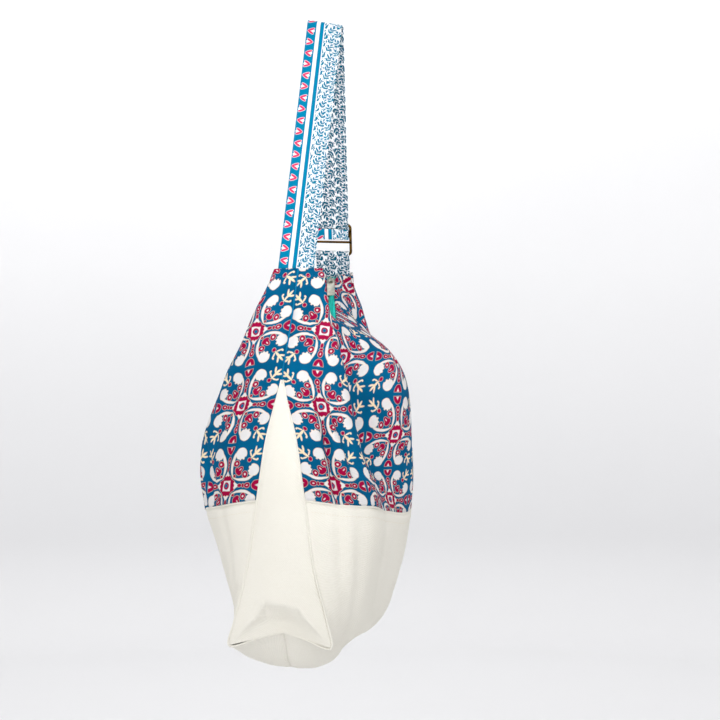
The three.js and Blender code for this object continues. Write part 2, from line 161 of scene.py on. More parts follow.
# %% The net of the bag and its skin
def net_of(side):
    net = []
    for row, (level, widths) in enumerate(zip(LEVELS, WIDTHS[side])):
        x, z, edge, sway, ridge_x, ridge_z, tuck_x, tuck_z, mid_z, blunt = level
        near, near_tuck, mid, far_tuck, far = widths
        seam_y = side * edge + sway
        end_x, end_z = mix(x, ridge_x, blunt), mix(z, ridge_z, END_DROP)
        near_y, far_y = (side * mix(edge, w, END_OUT) + sway * END_SWAY for w in (near, far))
        mid_y = side * mid + (ZIP_SWAY if row == 0 else 0)
        net.append([
            (-x, seam_y, z), (-end_x, near_y, end_z), (-ridge_x, side * near, ridge_z),
            (-tuck_x, side * near_tuck, tuck_z), (0, mid_y, mid_z), (tuck_x, side * far_tuck, tuck_z),
            (ridge_x, side * far, ridge_z), (end_x, far_y, end_z), (x, seam_y, z),
        ])
    return np.array(net, float)


NET = {side: net_of(side) for side in (-1, 1)}
SWAY_LINE = np.array([(level[0], level[3], level[1]) for level in LEVELS], float)


def smooth_skin(side, s, t):
    """The side of the bag at stations s and levels t, without its creases, in millimetres."""
    s, t = np.broadcast_arrays(np.asarray(s, float), np.asarray(t, float))
    lines = spline(NET[side].swapaxes(0, 1), s / LAST)
    point = spline(lines.swapaxes(0, 1), t / SEAM, own=True)
    point[:, 2] += FAR_LIFT * (point[:, 0] + FOOT_REACH)
    seam = spline(SWAY_LINE, t / SEAM)[:, 1]
    held = seam + side * np.maximum(side * (point[:, 1] - seam), SEAM_GAP)
    point[:, 1] = np.where((s < 1) | (s > LAST - 1), held, point[:, 1])
    return point


FOOT_PULL, FOOT_RUN = 16, 2.2


def foot_pull(share):
    """How far the seam at the foot of an end is drawn in, from 0 at a corner to 1 in the middle."""
    return FOOT_PULL * np.sin(math.pi / 2 * np.clip(share, 0, 1)) ** 2


def skin(side, s, t):
    """The side of the bag with its creases, and with the foot of each end drawn in."""
    point = smooth_skin(side, s, t)
    push = np.zeros(len(point))
    for crease_side, from_s, from_t, to_s, to_t, depth, width in CREASES:
        if crease_side == side:
            ends = smooth_skin(side, [from_s, to_s], [from_t, to_t])
            run = ends[1] - ends[0]
            share = np.clip((point - ends[0]) @ run / (run @ run), 0, 1)
            away = np.linalg.norm(point - ends[0] - share[:, None] * run, axis=1)
            push += depth * np.exp(-(away / width) ** 2)
    point[:, 1] += side * push
    s, t = np.broadcast_arrays(np.asarray(s, float), np.asarray(t, float))
    from_end = np.minimum(s, LAST - s)
    drawn_in = foot_pull((t - CORNER) / (SEAM - CORNER)) * (1 - smoothstep(from_end, 0, FOOT_RUN))
    point[:, 0] += np.where(s < LAST / 2, drawn_in, -drawn_in)
    return point + (0, BAG_SHIFT, 0)


print("mouth corner of the front in millimetres:", skin(-1, [0.0], [0.0])[0].round(2))

# %% [markdown]
# ## A grid that becomes cloth
# Cloth starts as Blender's own grid. Each vertex is then moved to its place on the bag, lifted or sunk a
# little along the normal for hems and wrinkles, and given a UV that measures real millimetres on the
# cloth, so that a print follows the surface the way a real print does. Solidify gives the thickness.

# %% Measures of a grid
def unit(vectors):
    """Each vector made one long."""
    return vectors / np.maximum(np.linalg.norm(vectors, axis=-1, keepdims=True), 1e-9)


def normals_of(net):
    """The normal at every point of a grid of points."""
    return unit(np.cross(np.gradient(net, axis=1), np.gradient(net, axis=0)))


def arcs_of(net, axis):
    """How far each point of a grid lies from the grid's first column (axis 1) or row (axis 0)."""
    steps = np.linalg.norm(np.diff(net, axis=axis), axis=2)
    start = np.zeros_like(steps[:, :1] if axis == 1 else steps[:1])
    return np.concatenate([start, np.cumsum(steps, axis=axis)], axis=axis)


def lengths_of(path):
    """How far each point of a path lies from its start."""
    return np.concatenate([[0], np.cumsum(np.linalg.norm(np.diff(path, axis=0), axis=1))])


def wrinkles(net, stretch, depth, seed):
    """Soft irregular waves over a grid of points. stretch gives their size along x, y and z."""
    flat = net.reshape(-1, 3) / stretch + seed
    waves = np.array([noise.noise(Vector(spot)) for spot in flat])
    return depth * waves.reshape(net.shape[:2])


print("a vector of 3 and 4 made one long:", unit(np.array((3.0, 4.0, 0.0))))

# %% Laying cloth
def finish_mesh(name, bm, materials):
    mesh = bpy.data.meshes.new(name)
    bm.to_mesh(mesh)
    bm.free()
    mesh.shade_smooth()
    for material in materials:
        mesh.materials.append(material)
    piece = bpy.data.objects.new(name, mesh)
    bpy.context.collection.objects.link(piece)
    return piece


def flat_grid(cols, rows):
    """A flat grid, and where each of its vertices lies on it, from 0 to 1."""
    bm = bmesh.new()
    bmesh.ops.create_grid(bm, x_segments=cols, y_segments=rows, size=0.5)
    flat = np.array([vert.co[:2] for vert in bm.verts])
    return bm, (flat - flat.min(0)) / (flat.max(0) - flat.min(0))


def cloth(name, cols, rows, place, materials, relief=None, chart=None, thick=0, turn=False):
    """A grid laid on place(a, b), with relief along its normals and chart as its UV, in millimetres."""
    bm, flat = flat_grid(cols, rows)
    cell = np.rint(flat * (cols, rows)).astype(int)
    net = np.zeros((rows + 1, cols + 1, 3))
    net[cell[:, 1], cell[:, 0]] = place(flat[:, 0], flat[:, 1])
    if relief is not None:
        net = net + normals_of(net) * (-1 if turn else 1) * relief(net)[:, :, None]
    for vert, (column, row) in zip(bm.verts, cell):
        vert.co = Vector(net[row, column] * MM)
    if chart is not None:
        uv = bm.loops.layers.uv.new("cut")
        marks = chart(net)
        bm.verts.index_update()
        for face in bm.faces:
            for loop in face.loops:
                column, row = cell[loop.vert.index]
                loop[uv].uv = marks[row, column]
    if turn:
        bmesh.ops.reverse_faces(bm, faces=bm.faces)
    piece = finish_mesh(name, bm, materials)
    if thick:
        wall = piece.modifiers.new("thickness", "SOLIDIFY")
        wall.thickness = thick * MM
        wall.offset = 0
    return piece, net


print("cloth is laid in millimetres of", MM, "m")

# %% [markdown]
# Seams, wires and cast bars are rolls: a grid wrapped round a path. A curve object with a bevel makes them
# too, but a bar with an oval section needs its own two radii, which a wrapped grid takes directly.

# %% Rolls
def roll(name, path, radius, material, sides=8, closed=False, flatten=None):
    """A round cord of cloth or wire along a path. flatten gives other radii along normal and binormal."""
    path = np.asarray(path, float)
    rows = len(path) - 1
    ahead = np.gradient(path, axis=0)
    if closed:
        ahead[0] = ahead[-1] = path[1] - path[-2]
    ahead = unit(ahead)
    normal, binormal = flatten[:2] if flatten else (None, None)
    if normal is None:
        spare = np.array((0.0, 1.0, 0.0)) if abs(ahead[0][1]) < 0.8 else np.array((1.0, 0.0, 0.0))
        normals = [np.cross(ahead[0], spare)]
        for step in ahead[1:]:
            normals.append(normals[-1] - step * (normals[-1] @ step))
        normal = unit(np.array(normals))
        binormal = np.cross(ahead, normal)
    radii = flatten[2:] if flatten else (radius, radius)

    def place(a, b):
        spot = np.clip(np.rint(b * rows).astype(int), 0, rows)
        angle = 2 * math.pi * a[:, None]
        ring = radii[0] * np.cos(angle) * normal[spot] + radii[1] * np.sin(angle) * binormal[spot]
        return path[spot] + ring

    bm, flat = flat_grid(sides, rows)
    for vert, spot in zip(bm.verts, place(flat[:, 0], flat[:, 1])):
        vert.co = Vector(spot * MM)
    bmesh.ops.remove_doubles(bm, verts=bm.verts, dist=1e-6)
    if not closed:
        rims = [edge for edge in bm.edges if edge.is_boundary]
        bmesh.ops.holes_fill(bm, edges=rims, sides=0)
    bmesh.ops.recalc_face_normals(bm, faces=bm.faces)
    return finish_mesh(name, bm, [material])


print("rolls ready")

# %% [markdown]
# A stitch is a small bead of thread. Hundreds of them are made, so each is the plainest icosphere,
# stretched along the seam. Every piece then rides on a body of the frame, and may stand for a solid.

# %% Stitches and bodies
def placed(centre, axes, size=(1, 1, 1)):
    """A matrix that sets a shape at a spot in millimetres, with its size along three axes."""
    turn = Matrix([Vector(axis) for axis in axes]).transposed().to_4x4()
    spot = Matrix.Translation(Vector(centre) * MM)
    return spot @ Matrix.Scale(MM, 4) @ turn @ Matrix.Diagonal((*size, 1))


def stitch_line(name, path, normals, material, long=2.3, gap=0.9, thick=0.28):
    """A row of sewn stitches along a path: small flattened beads of thread, a little proud of the cloth."""
    path, normals = np.asarray(path, float), np.asarray(normals, float)
    run = lengths_of(path)
    starts = np.arange(gap, run[-1] - long, long + gap)
    bm = bmesh.new()
    for start in starts:
        ends = [[np.interp(start + d, run, path[:, k]) for k in range(3)] for d in (0, long)]
        tall = Vector([np.interp(start, run, normals[:, k]) for k in range(3)]).normalized()
        ahead = (Vector(ends[1]) - Vector(ends[0])).normalized()
        side = tall.cross(ahead).normalized()
        tall = ahead.cross(side)
        middle = (Vector(ends[0]) + Vector(ends[1])) / 2
        place = placed(middle, (ahead, side, tall), (long / 2, thick, thick * 0.8))
        bmesh.ops.create_icosphere(bm, subdivisions=1, radius=1, matrix=place)
    return finish_mesh(name, bm, [material])


def belongs(piece, node=None, body="bag"):
    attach(piece, body)
    if node:
        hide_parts(node)
    return piece


# %% [markdown]
# ## Writing a pattern with numbers
# A print could be an image. Here it is drawn with Math nodes, so it stays sharp at any distance and
# needs no file. Wire stands for one number on its way through the node tree, and lets the chart of the
# print be written as plain sums.

# %% Number wires for node trees
class Wire:
    """One number in a node tree, with the usual signs for sums."""

    def __init__(self, tree, socket):
        self.tree, self.socket = tree, socket

    def math(self, kind, *others, clamp=False):
        node = self.tree.nodes.new("ShaderNodeMath")
        node.operation = kind
        node.use_clamp = clamp
        for socket, value in zip(node.inputs, (self, *others)):
            if isinstance(value, Wire):
                self.tree.links.new(value.socket, socket)
            else:
                socket.default_value = value
        return Wire(self.tree, node.outputs[0])

    def __add__(self, other):
        return self.math("ADD", other)

    def __sub__(self, other):
        return self.math("SUBTRACT", other)

    def __mul__(self, other):
        return self.math("MULTIPLY", other)

    def __truediv__(self, other):
        return self.math("DIVIDE", other)

    def __neg__(self):
        return self * -1

    __radd__, __rmul__ = __add__, __mul__

    def __rsub__(self, other):
        return -self + other

    def abs(self):
        return self.math("ABSOLUTE")

    def least(self, other):
        return self.math("MINIMUM", other)

    def most(self, other):
        return self.math("MAXIMUM", other)

    def power(self, other):
        return self.math("POWER", other)

    def inside(self, soft):
        """1 where a distance is below zero, 0 where it is above, soft wide in between."""
        return (0.5 - self / soft).math("ADD", 0.0, clamp=True)


print("wires can be", [name for name in ("abs", "least", "most", "power", "inside") if hasattr(Wire, name)])

# %% Distances and finishes
def far_from(x, y, x0, y0):
    return ((x - x0).power(2) + (y - y0).power(2)).math("SQRT")


class Finish:
    """A material being written: its shader, and short ways to add textures and colours."""

    def __init__(self, name, roughness, metallic=0.0, shine=0.15):
        self.material = bpy.data.materials.new(name)
        self.material.use_nodes = True
        self.tree = self.material.node_tree
        self.shader = self.tree.nodes["Principled BSDF"]
        self.shader.inputs["Roughness"].default_value = roughness
        self.shader.inputs["Metallic"].default_value = metallic
        self.shader.inputs["Specular IOR Level"].default_value = shine

    def node(self, kind, **values):
        node = self.tree.nodes.new(kind)
        for name, value in values.items():
            if name in node.inputs:
                node.inputs[name].default_value = value
            else:
                setattr(node, name, value)
        return node

    def link(self, source, target):
        self.tree.links.new(source, target)

    def number(self, socket):
        return Wire(self.tree, socket)

    def place(self, scale=(1, 1, 1), source="Object", turn=(0, 0, 0)):
        spot = self.node("ShaderNodeTexCoord")
        sizes = self.node("ShaderNodeMapping")
        sizes.inputs["Scale"].default_value = scale
        sizes.inputs["Rotation"].default_value = turn
        self.link(spot.outputs[source], sizes.inputs["Vector"])
        return sizes.outputs["Vector"]

    def cut(self):
        """The two UV numbers of the cloth."""
        uv = self.node("ShaderNodeUVMap", uv_map="cut")
        parts = self.node("ShaderNodeSeparateXYZ")
        self.link(uv.outputs["UV"], parts.inputs["Vector"])
        return self.number(parts.outputs["X"]), self.number(parts.outputs["Y"])

    def noise(self, vector, scale, detail=2.0, rough=0.5):
        node = self.node("ShaderNodeTexNoise", Scale=scale, Detail=detail, Roughness=rough)
        self.link(vector, node.inputs["Vector"])
        return self.number(node.outputs["Fac"])

    def blend(self, low, high, share):
        """Colour low where share is 0 and high where it is 1."""
        node = self.node("ShaderNodeMix", data_type="RGBA")
        for socket, value in ((node.inputs[6], low), (node.inputs[7], high), (node.inputs[0], share)):
            if isinstance(value, Wire):
                self.link(value.socket, socket)
            elif isinstance(value, (tuple, float, int)):
                socket.default_value = value
            else:
                self.link(value, socket)
        return node.outputs[2]

    def tint(self, colour, amount):
        """The colour made lighter or darker: amount 1 leaves it."""
        node = self.node("ShaderNodeHueSaturation")
        self.link(colour, node.inputs["Color"])
        self.link(amount.socket, node.inputs["Value"])
        return node.outputs["Color"]

    def colour(self, socket):
        self.link(socket, self.shader.inputs["Base Color"])

    def rough(self, wire):
        self.link(wire.socket, self.shader.inputs["Roughness"])

    def bump(self, wire, depth, strength=1.0):
        node = self.node("ShaderNodeBump", Strength=strength, Distance=depth)
        self.link(wire.socket, node.inputs["Height"])
        self.link(node.outputs["Normal"], self.shader.inputs["Normal"])


def srgb(red, green, blue):
    """A colour as painters give it, 0 to 255, turned to the linear numbers that shaders use."""
    def linear(value):
        value /= 255
        return value / 12.92 if value <= 0.04045 else ((value + 0.055) / 1.055) ** 2.4

    return (linear(red), linear(green), linear(blue), 1.0)


def weave(finish, thread, vector=None):
    """Height of a plain weave with that thread width in metres, from crossing waves."""
    vector = vector or finish.place((1, 1, 1))
    parts = finish.node("ShaderNodeSeparateXYZ")
    finish.link(vector, parts.inputs["Vector"])
    turn = math.pi / thread
    x, y, z = (finish.number(parts.outputs[axis]) for axis in "XYZ")
    across = ((x + y) * turn).math("SINE")
    up = (z * turn).math("SINE")
    return across * up * 0.5 + 0.5


print("node helpers ready")

# %% [markdown]
# ## The printed cotton
# The cloth carries a traditional tile print: a square medallion at every crossing, arms of small beads and
# petals between them, curled white commas, and sprigs where four tiles meet. One tile has the symmetry of
# a square, so only an eighth of it is charted: along is the distance from the medallion on the longer
# way, aside on the shorter way, both in tiles. A repeat is 83 mm.

# %% Shapes of the tile
TILE = 83.0
BLUE, DEEP_BLUE = srgb(0, 100, 146), srgb(0, 60, 96)
CRIMSON, DARK_CRIMSON = srgb(172, 10, 68), srgb(126, 4, 46)
WHITE, CREAM = srgb(226, 224, 224), srgb(240, 222, 188)
EDGE_SOFT, RIM = 0.009, 0.006


def folded(wire):
    """Distance from the nearest whole number."""
    return (wire - wire.math("ROUND")).abs()


def lens(x, y, x0, y0, long, wide, turn=0.0):
    """Distance to an oval at x0, y0 with its long half turned by an angle, below zero inside it."""
    c, s = math.cos(math.radians(turn)), math.sin(math.radians(turn))
    x, y = x - x0, y - y0
    if turn:
        x, y = x * c + y * s, y * c - x * s
    x, y = x * (1 / long), y * (1 / wide)
    size = (x * x + y * y).math("SQRT")
    x, y = x * (1 / long), y * (1 / wide)
    return size * (size - 1) / (x * x + y * y).math("SQRT")


def nearest(*shapes):
    """The distance to the nearest of several shapes."""
    first, *others = shapes
    for shape in others:
        first = first.least(shape)
    return first


def tile_shapes(across, up):
    """Distances to the white, cream and crimson shapes of the tile, below zero inside them."""
    across, up = folded(across), folded(up)
    along, aside = across.most(up), across.least(up)
    out, off = (along + aside) * 0.7071, (along - aside) * 0.7071
    middle = far_from(along, aside, 0, 0)
    ripple = (aside * (math.pi / 0.05)).math("COSINE").abs() * 0.012
    rounded_square = along.most((along + aside) * 0.70)
    medallion, square = rounded_square - ripple - 0.112, along - 0.062
    disc, dot = middle - 0.045, middle - 0.024
    spike = ((0.205 - along) * 10.5).most(0).power(1.7) * 0.050
    spike = (aside - spike).most(0.1 - along).most(along - 0.205)
    beads = nearest(
        lens(along, aside, 0.198, 0, 0.031, 0.020), lens(along, aside, 0.248, 0, 0.016, 0.024),
        lens(along, aside, 0.310, 0, 0.045, 0.032),
    )
    dome = lens(along, aside, 0.474, 0, 0.096, 0.066).most(along - 0.474)
    wedge = (aside - (along - 0.425) * 0.50).most(along - 0.468)
    tail = (far_from(along, aside, 0.235, 0.311) - 0.254).most(0.421 - far_from(along, aside, 0.200, 0.500))
    tail = tail.most(along - 0.39).most(aside - 0.18)
    bites = nearest(
        far_from(along, aside, 0.306, 0.152) - 0.018, far_from(along, aside, 0.302, 0.198) - 0.024,
        far_from(along, aside, 0.330, 0.246) - 0.024,
    )
    comma = (far_from(along, aside, 0.380, 0.182) - 0.071).most(-bites).least(tail)
    ring = lens(along, aside, 0.264, 0.130, 0.038, 0.042)
    ring_eye = lens(along, aside, 0.264, 0.132, 0.012, 0.013)
    bud = lens(out, off, 0.255, 0, 0.060, 0.034).least(lens(out, off.abs(), 0.230, 0.028, 0.033, 0.023, 35))
    bud_eye, bead_eye = lens(out, off, 0.272, 0, 0.018, 0.006), lens(along, aside, 0.308, 0, 0.014, 0.007)
    pip, berry = far_from(out, off, 0.162, 0) - 0.018, far_from(out, off, 0.432, 0) - 0.026
    sprig = nearest(
        lens(out, off, 0.545, 0, 0.085, 0.016), lens(out, off, 0.572, 0.036, 0.044, 0.012, 42),
        lens(out, off, 0.488, 0.042, 0.034, 0.010, 68), lens(out, off, 0.512, 0.074, 0.018, 0.012, 10),
    )
    red = nearest(medallion, beads, dome, ring, bud, pip, berry)
    eyes = nearest(wedge, ring_eye, bud_eye, bead_eye)
    return spike.least(comma), sprig, red, eyes, square, disc, dot


print("one tile is", TILE, "mm wide")

# %% Printed cotton
def printed_cotton():
    cotton = Finish("printed_cotton", 0.82, shine=0.05)
    u, v = cotton.cut()
    wander = cotton.noise(cotton.place((1, 1, 1)), 160, 1.0)
    sway = (wander - 0.5) * 0.012
    white, sprig, red, eyes, square, disc, dot = tile_shapes(u / TILE + sway, v / TILE + sway)
    faded = cotton.noise(cotton.place((1, 1, 1)), 22, 3.0)
    ground = cotton.blend(DEEP_BLUE, BLUE, faded * 0.9 + 0.2)
    rim = sprig.least(white - RIM).inside(EDGE_SOFT)
    colour = cotton.blend(ground, CREAM, rim)
    colour = cotton.blend(colour, WHITE, white.inside(EDGE_SOFT))
    colour = cotton.blend(colour, CREAM, (red - RIM * 0.4).inside(EDGE_SOFT))
    pink = cotton.blend(DARK_CRIMSON, CRIMSON, faded * 0.6 + 0.4)
    colour = cotton.blend(colour, pink, red.inside(EDGE_SOFT))
    colour = cotton.blend(colour, WHITE, eyes.inside(EDGE_SOFT))
    colour = cotton.blend(colour, WHITE, square.inside(EDGE_SOFT))
    colour = cotton.blend(colour, pink, disc.inside(EDGE_SOFT))
    colour = cotton.blend(colour, BLUE, dot.inside(EDGE_SOFT))
    threads = weave(cotton, 0.0007)
    cotton.colour(cotton.tint(colour, threads * 0.10 + faded * 0.12 + 0.89))
    cotton.rough(faded * 0.12 + 0.74)
    cotton.bump(threads + faded * 1.5, 0.00022)
    return cotton.material


PRINT = printed_cotton()
print("printed cotton has", len(PRINT.node_tree.nodes), "nodes")

# %% [markdown]
# ## Canvas, strap and zip cloth
# The canvas is undyed, with flecks in its threads. The strap has a border on its outer face, with buds that
# open to and fro across it, and leafy sprigs in a half-drop repeat over the rest. The small leaves between
# the sprigs come from a Voronoi texture: each cell gives one leaf its own spot and, through its random
# colour, its own turn.

# %% Canvas
def cream_canvas():
    canvas = Finish("cream_canvas", 0.88)
    soft = canvas.noise(canvas.place((1, 1, 1)), 14, 3.0)
    slubs = canvas.noise(canvas.place((1, 1, 7)), 260, 2.0)
    threads = weave(canvas, 0.0009)
    colour = canvas.blend(srgb(231, 227, 213), srgb(251, 248, 239), soft * 0.5 + slubs * 0.35 + 0.2)
    canvas.colour(canvas.tint(colour, threads * 0.06 + 0.96))
    canvas.rough(slubs * 0.15 + 0.8)
    canvas.bump(threads + slubs * 0.7, 0.0003)
    return canvas.material


CANVAS = cream_canvas()
print("canvas has", len(CANVAS.node_tree.nodes), "nodes")

# %% Leaves, sprigs and buds
STRAP_WIDE = 40.0
STRAP_WHITE, STRAP_BLUE = srgb(240, 243, 245), srgb(0, 123, 163)
PINK, LEAF_BLUE = srgb(216, 56, 98), srgb(0, 128, 164)
LEAF_NAVY, DEEP_NAVY = srgb(0, 98, 128), srgb(0, 72, 94)
BUD_PITCH, BUD_LEAN, SPRIG_WIDE, SPRIG_TALL, SPRIG_LEAN = 14.0, 9, 8.4, 11.6, 28
# near edge and far edge of each stripe, from the strap's back edge
BAND, LINE = (0.4, 11.6), (15.9, 20.4)


def between(wire, low, high, soft=0.35):
    return (low - wire).most(wire - high).inside(soft)


def leaves(cloth, u, v, pitch, long, half, shift):
    """Small pointed leaves, one in each cell of a scattered grid."""
    join = cloth.node("ShaderNodeCombineXYZ")
    cloth.link((u / pitch + shift).socket, join.inputs["X"])
    cloth.link((v / pitch).socket, join.inputs["Y"])
    cells = cloth.node("ShaderNodeTexVoronoi", Scale=1.0, Randomness=0.75, voronoi_dimensions="2D")
    cloth.link(join.outputs["Vector"], cells.inputs["Vector"])
    parts = []
    for source in (join.outputs["Vector"], cells.outputs["Position"]):
        split = cloth.node("ShaderNodeSeparateXYZ")
        cloth.link(source, split.inputs["Vector"])
        parts.append([cloth.number(split.outputs[axis]) for axis in "XY"])
    tone = cloth.node("ShaderNodeSeparateColor")
    cloth.link(cells.outputs["Color"], tone.inputs["Color"])
    turn = cloth.number(tone.outputs["Red"]) * math.tau
    x, y = parts[0][0] - parts[1][0], parts[0][1] - parts[1][1]
    ahead = x * turn.math("COSINE") + y * turn.math("SINE")
    aside = (y * turn.math("COSINE") - x * turn.math("SINE") + ahead * ahead * 0.4).abs()
    return aside - (1.0 - (ahead / long).power(2)).most(0) * half + (ahead.abs() - long).most(0)


def sprigs(u, v):
    """Distances in millimetres to leafy sprigs in a half-drop repeat, and to ring flowers between them."""
    column = (u / SPRIG_WIDE).math("FLOOR")
    x = ((u / SPRIG_WIDE).math("FRACT") - 0.5) * SPRIG_WIDE * ((column * 0.5).math("FRACT") * 4 - 1)
    y = ((v / SPRIG_TALL + column * 0.5).math("FRACT") - 0.5) * SPRIG_TALL
    ring = (far_from(x, y.abs(), 2.6, SPRIG_TALL / 2 - 1.0) - 1.35).abs() - 0.46
    lean = math.radians(SPRIG_LEAN)
    ahead = y * math.cos(lean) + x * math.sin(lean)
    aside = (x * math.cos(lean) - y * math.sin(lean)).abs()
    sprig = nearest(
        lens(ahead, aside, -1.9, 2.0, 2.7, 1.08, 40), lens(ahead, aside, 1.6, 1.9, 2.5, 1.04, 38),
        lens(ahead, aside, 4.7, 0, 2.2, 1.0), lens(ahead, aside, -0.8, 0, 3.8, 0.44),
    )
    return sprig, ring


def buds(u, v):
    """Distances to the petals and the throat of buds that open across the border, to and fro in turn."""
    turn = v / BUD_PITCH
    flip = (turn.math("FLOOR") * 0.5).math("FRACT") * 4 - 1
    up, mid = (turn.math("FRACT") - 0.5) * BUD_PITCH, u - (BAND[0] + BAND[1]) / 2 + 0.4
    lean = math.radians(BUD_LEAN)
    ahead = (mid * math.cos(lean) - up * math.sin(lean)) * flip
    aside = (mid * math.sin(lean) + up * math.cos(lean)).abs()
    petals = nearest(lens(ahead, aside, 0.3, 1.9, 3.8, 1.3, 26), far_from(ahead, aside, -2.3, 0) - 1.5)
    return petals, lens(ahead, aside, 2.1, 0, 2.3, 2.0)


print("buds stand", BUD_PITCH, "mm apart, sprigs", SPRIG_TALL, "mm")

# %% Strap cloth
def strap_cloth(name, border):
    cloth = Finish(name, 0.84, shine=0.05)
    u, v = cloth.cut()
    soft = cloth.noise(cloth.place((1, 1, 1)), 30, 2.0)
    drift = (cloth.noise(cloth.place((1, 1, 1)), 110, 1.0) - 0.5) * 5.5
    sprig, ring = sprigs(u + drift, v - drift)
    filling = (leaves(cloth, u, v, 4.2, 0.52, 0.22, 7.3) * 4.2).most(0.5 - sprig.least(ring))
    leaf = cloth.blend(LEAF_NAVY, LEAF_BLUE if border else DEEP_NAVY, soft)
    colour = cloth.blend(STRAP_WHITE, leaf, (ring * 1.2 + 0.1).inside(0.5) * 0.75)
    bold = -0.05 if border else 0.03
    colour = cloth.blend(colour, leaf, (sprig.least(filling) - bold).inside(0.35))
    if border:
        colour = cloth.blend(colour, STRAP_WHITE, between(u, -5.0, LINE[1] + 1.0))
        colour = cloth.blend(colour, STRAP_BLUE, between(u, *BAND).most(between(u, *LINE)))
        petals, throat = buds(u, v)
        colour = cloth.blend(colour, STRAP_WHITE, throat.least(petals - 0.35).inside(0.5))
        colour = cloth.blend(colour, PINK, petals.inside(0.5))
    threads = weave(cloth, 0.0007)
    cloth.colour(cloth.tint(colour, threads * 0.10 + soft * 0.10 + 0.90))
    cloth.rough(soft * 0.12 + 0.76)
    cloth.bump(threads + soft, 0.0002)
    return cloth.material


STRAP_OUTER, STRAP_INNER = strap_cloth("strap_outer", True), strap_cloth("strap_inner", False)
print("strap faces:", STRAP_OUTER.name, STRAP_INNER.name)

# %% Zip cloth, thread and plain blue cotton
def dyed_cloth(name, dark, light, roughness, thread):
    dyed = Finish(name, roughness)
    soft = dyed.noise(dyed.place((1, 1, 1)), 90, 3.0)
    threads = weave(dyed, thread)
    dyed.colour(dyed.blend(dark, light, soft * 0.7 + threads * 0.4))
    dyed.rough(soft * 0.2 + roughness - 0.1)
    dyed.bump(threads + soft * 0.5, 0.0002)
    return dyed.material


ZIP_TAPE = dyed_cloth("zip_tape_cloth", srgb(14, 186, 172), srgb(58, 232, 220), 0.8, 0.0006)
ZIP_COIL = dyed_cloth("zip_coil", srgb(10, 166, 152), srgb(56, 220, 206), 0.45, 0.0004)
SEAM_COTTON = dyed_cloth("seam_cotton", BLUE, srgb(0, 124, 172), 0.85, 0.0007)
CREAM_THREAD = dyed_cloth("cream_thread", srgb(222, 212, 190), srgb(250, 244, 228), 0.7, 0.0003)
BLUE_THREAD = dyed_cloth("blue_thread", srgb(0, 92, 140), srgb(24, 140, 190), 0.7, 0.0003)
WHITE_THREAD = dyed_cloth("white_thread", srgb(214, 216, 220), srgb(246, 246, 248), 0.7, 0.0003)
print("dyed cloths:", [cloth.name for cloth in (ZIP_TAPE, ZIP_COIL, SEAM_COTTON)])

# %% [markdown]
# ## Metal
# The strap slider is antique brass: almost black in the hollows and bright where hands rub it. The
# Geometry node's pointiness could find edges, but it is lost on export, so a noise on Object coordinates
# wears the finish instead. The zip's metal is satin silver.

# %% Metal
def worn_metal(name, dark, light, roughness, scale, wear):
    metal = Finish(name, roughness, metallic=1.0, shine=0.5)
    patches = metal.noise(metal.place((1, 1, 1)), scale, 4.0, 0.6)
    scratches = metal.noise(metal.place((1, 0.12, 1)), scale * 6, 2.0)
    share = ((patches - 0.5) * wear + 0.45 + (scratches - 0.5) * 0.5).math("ADD", 0.0, clamp=True)
    metal.colour(metal.blend(dark, light, share))
    metal.rough(patches * 0.25 + roughness - 0.1)
    metal.bump(scratches + patches, 0.00006)
    return metal.material


BRASS = worn_metal("antique_brass", srgb(26, 18, 8), srgb(116, 85, 36), 0.36, 130, 2.4)
SILVER = worn_metal("satin_silver", srgb(146, 145, 134), srgb(224, 222, 208), 0.32, 150, 1.2)
print("finishes:", [material.name for material in bpy.data.materials])

# %% [markdown]
# ## Printed panels
# Each panel is one piece of cotton that bulges over what the bag carries. A hem thickens its mouth, it dips
# where it is sewn, and it gathers in narrow creases beside the near end. Cloth simulation would give
# creases of its own, but here they follow the photo, so each is a short run with a depth and a width.

# %% Panel grid and creases
PANEL_COLS, PANEL_ROWS = 176, 100
SEAM_INSET, CORNER_INSET = 0.012, 0.026
COTTON_THICK, CANVAS_THICK = 1.6, 1.8
HEM = 11.0
# narrow creases: side, from station, from level, to station, to level, depth, width
NARROW_CREASES = [
    (-1, 0.93, 3.4, 1.0, 5.2, -8, 4.5), (-1, 0.72, 3.5, 0.78, 5.0, 2.2, 6),
    (-1, 1.3, 3.6, 1.36, 5.0, 2.2, 6), (-1, 3.0, 2.3, 3.7, 2.9, -2.6, 4),
    (-1, 3.2, 1.9, 4.0, 2.2, -3.0, 5), (-1, 2.9, 3.2, 3.3, 4.5, -2.6, 5),
    (-1, 2.6, 1.2, 3.3, 1.7, -2.2, 4), (-1, 4.6, 2.4, 5.4, 3.4, -2.6, 6), (-1, 6.9, 3.4, 7.0, 5.1, -5, 5),
    (1, 0.9, 3.3, 1.0, 4.7, -5, 4.5), (1, 1.95, 3.9, 1.5, 5.1, -6, 5), (1, 1.66, 4.2, 1.22, 5.1, -4.5, 4.5),
    (1, 2.3, 4.1, 1.95, 5.1, -5, 5), (1, 0.9, 0.9, 1.6, 2.4, -1.8, 5), (1, 4.4, 2.2, 5.3, 3.6, -2.6, 6),
    (1, 6.8, 3.4, 6.9, 5.1, -5, 5),
]
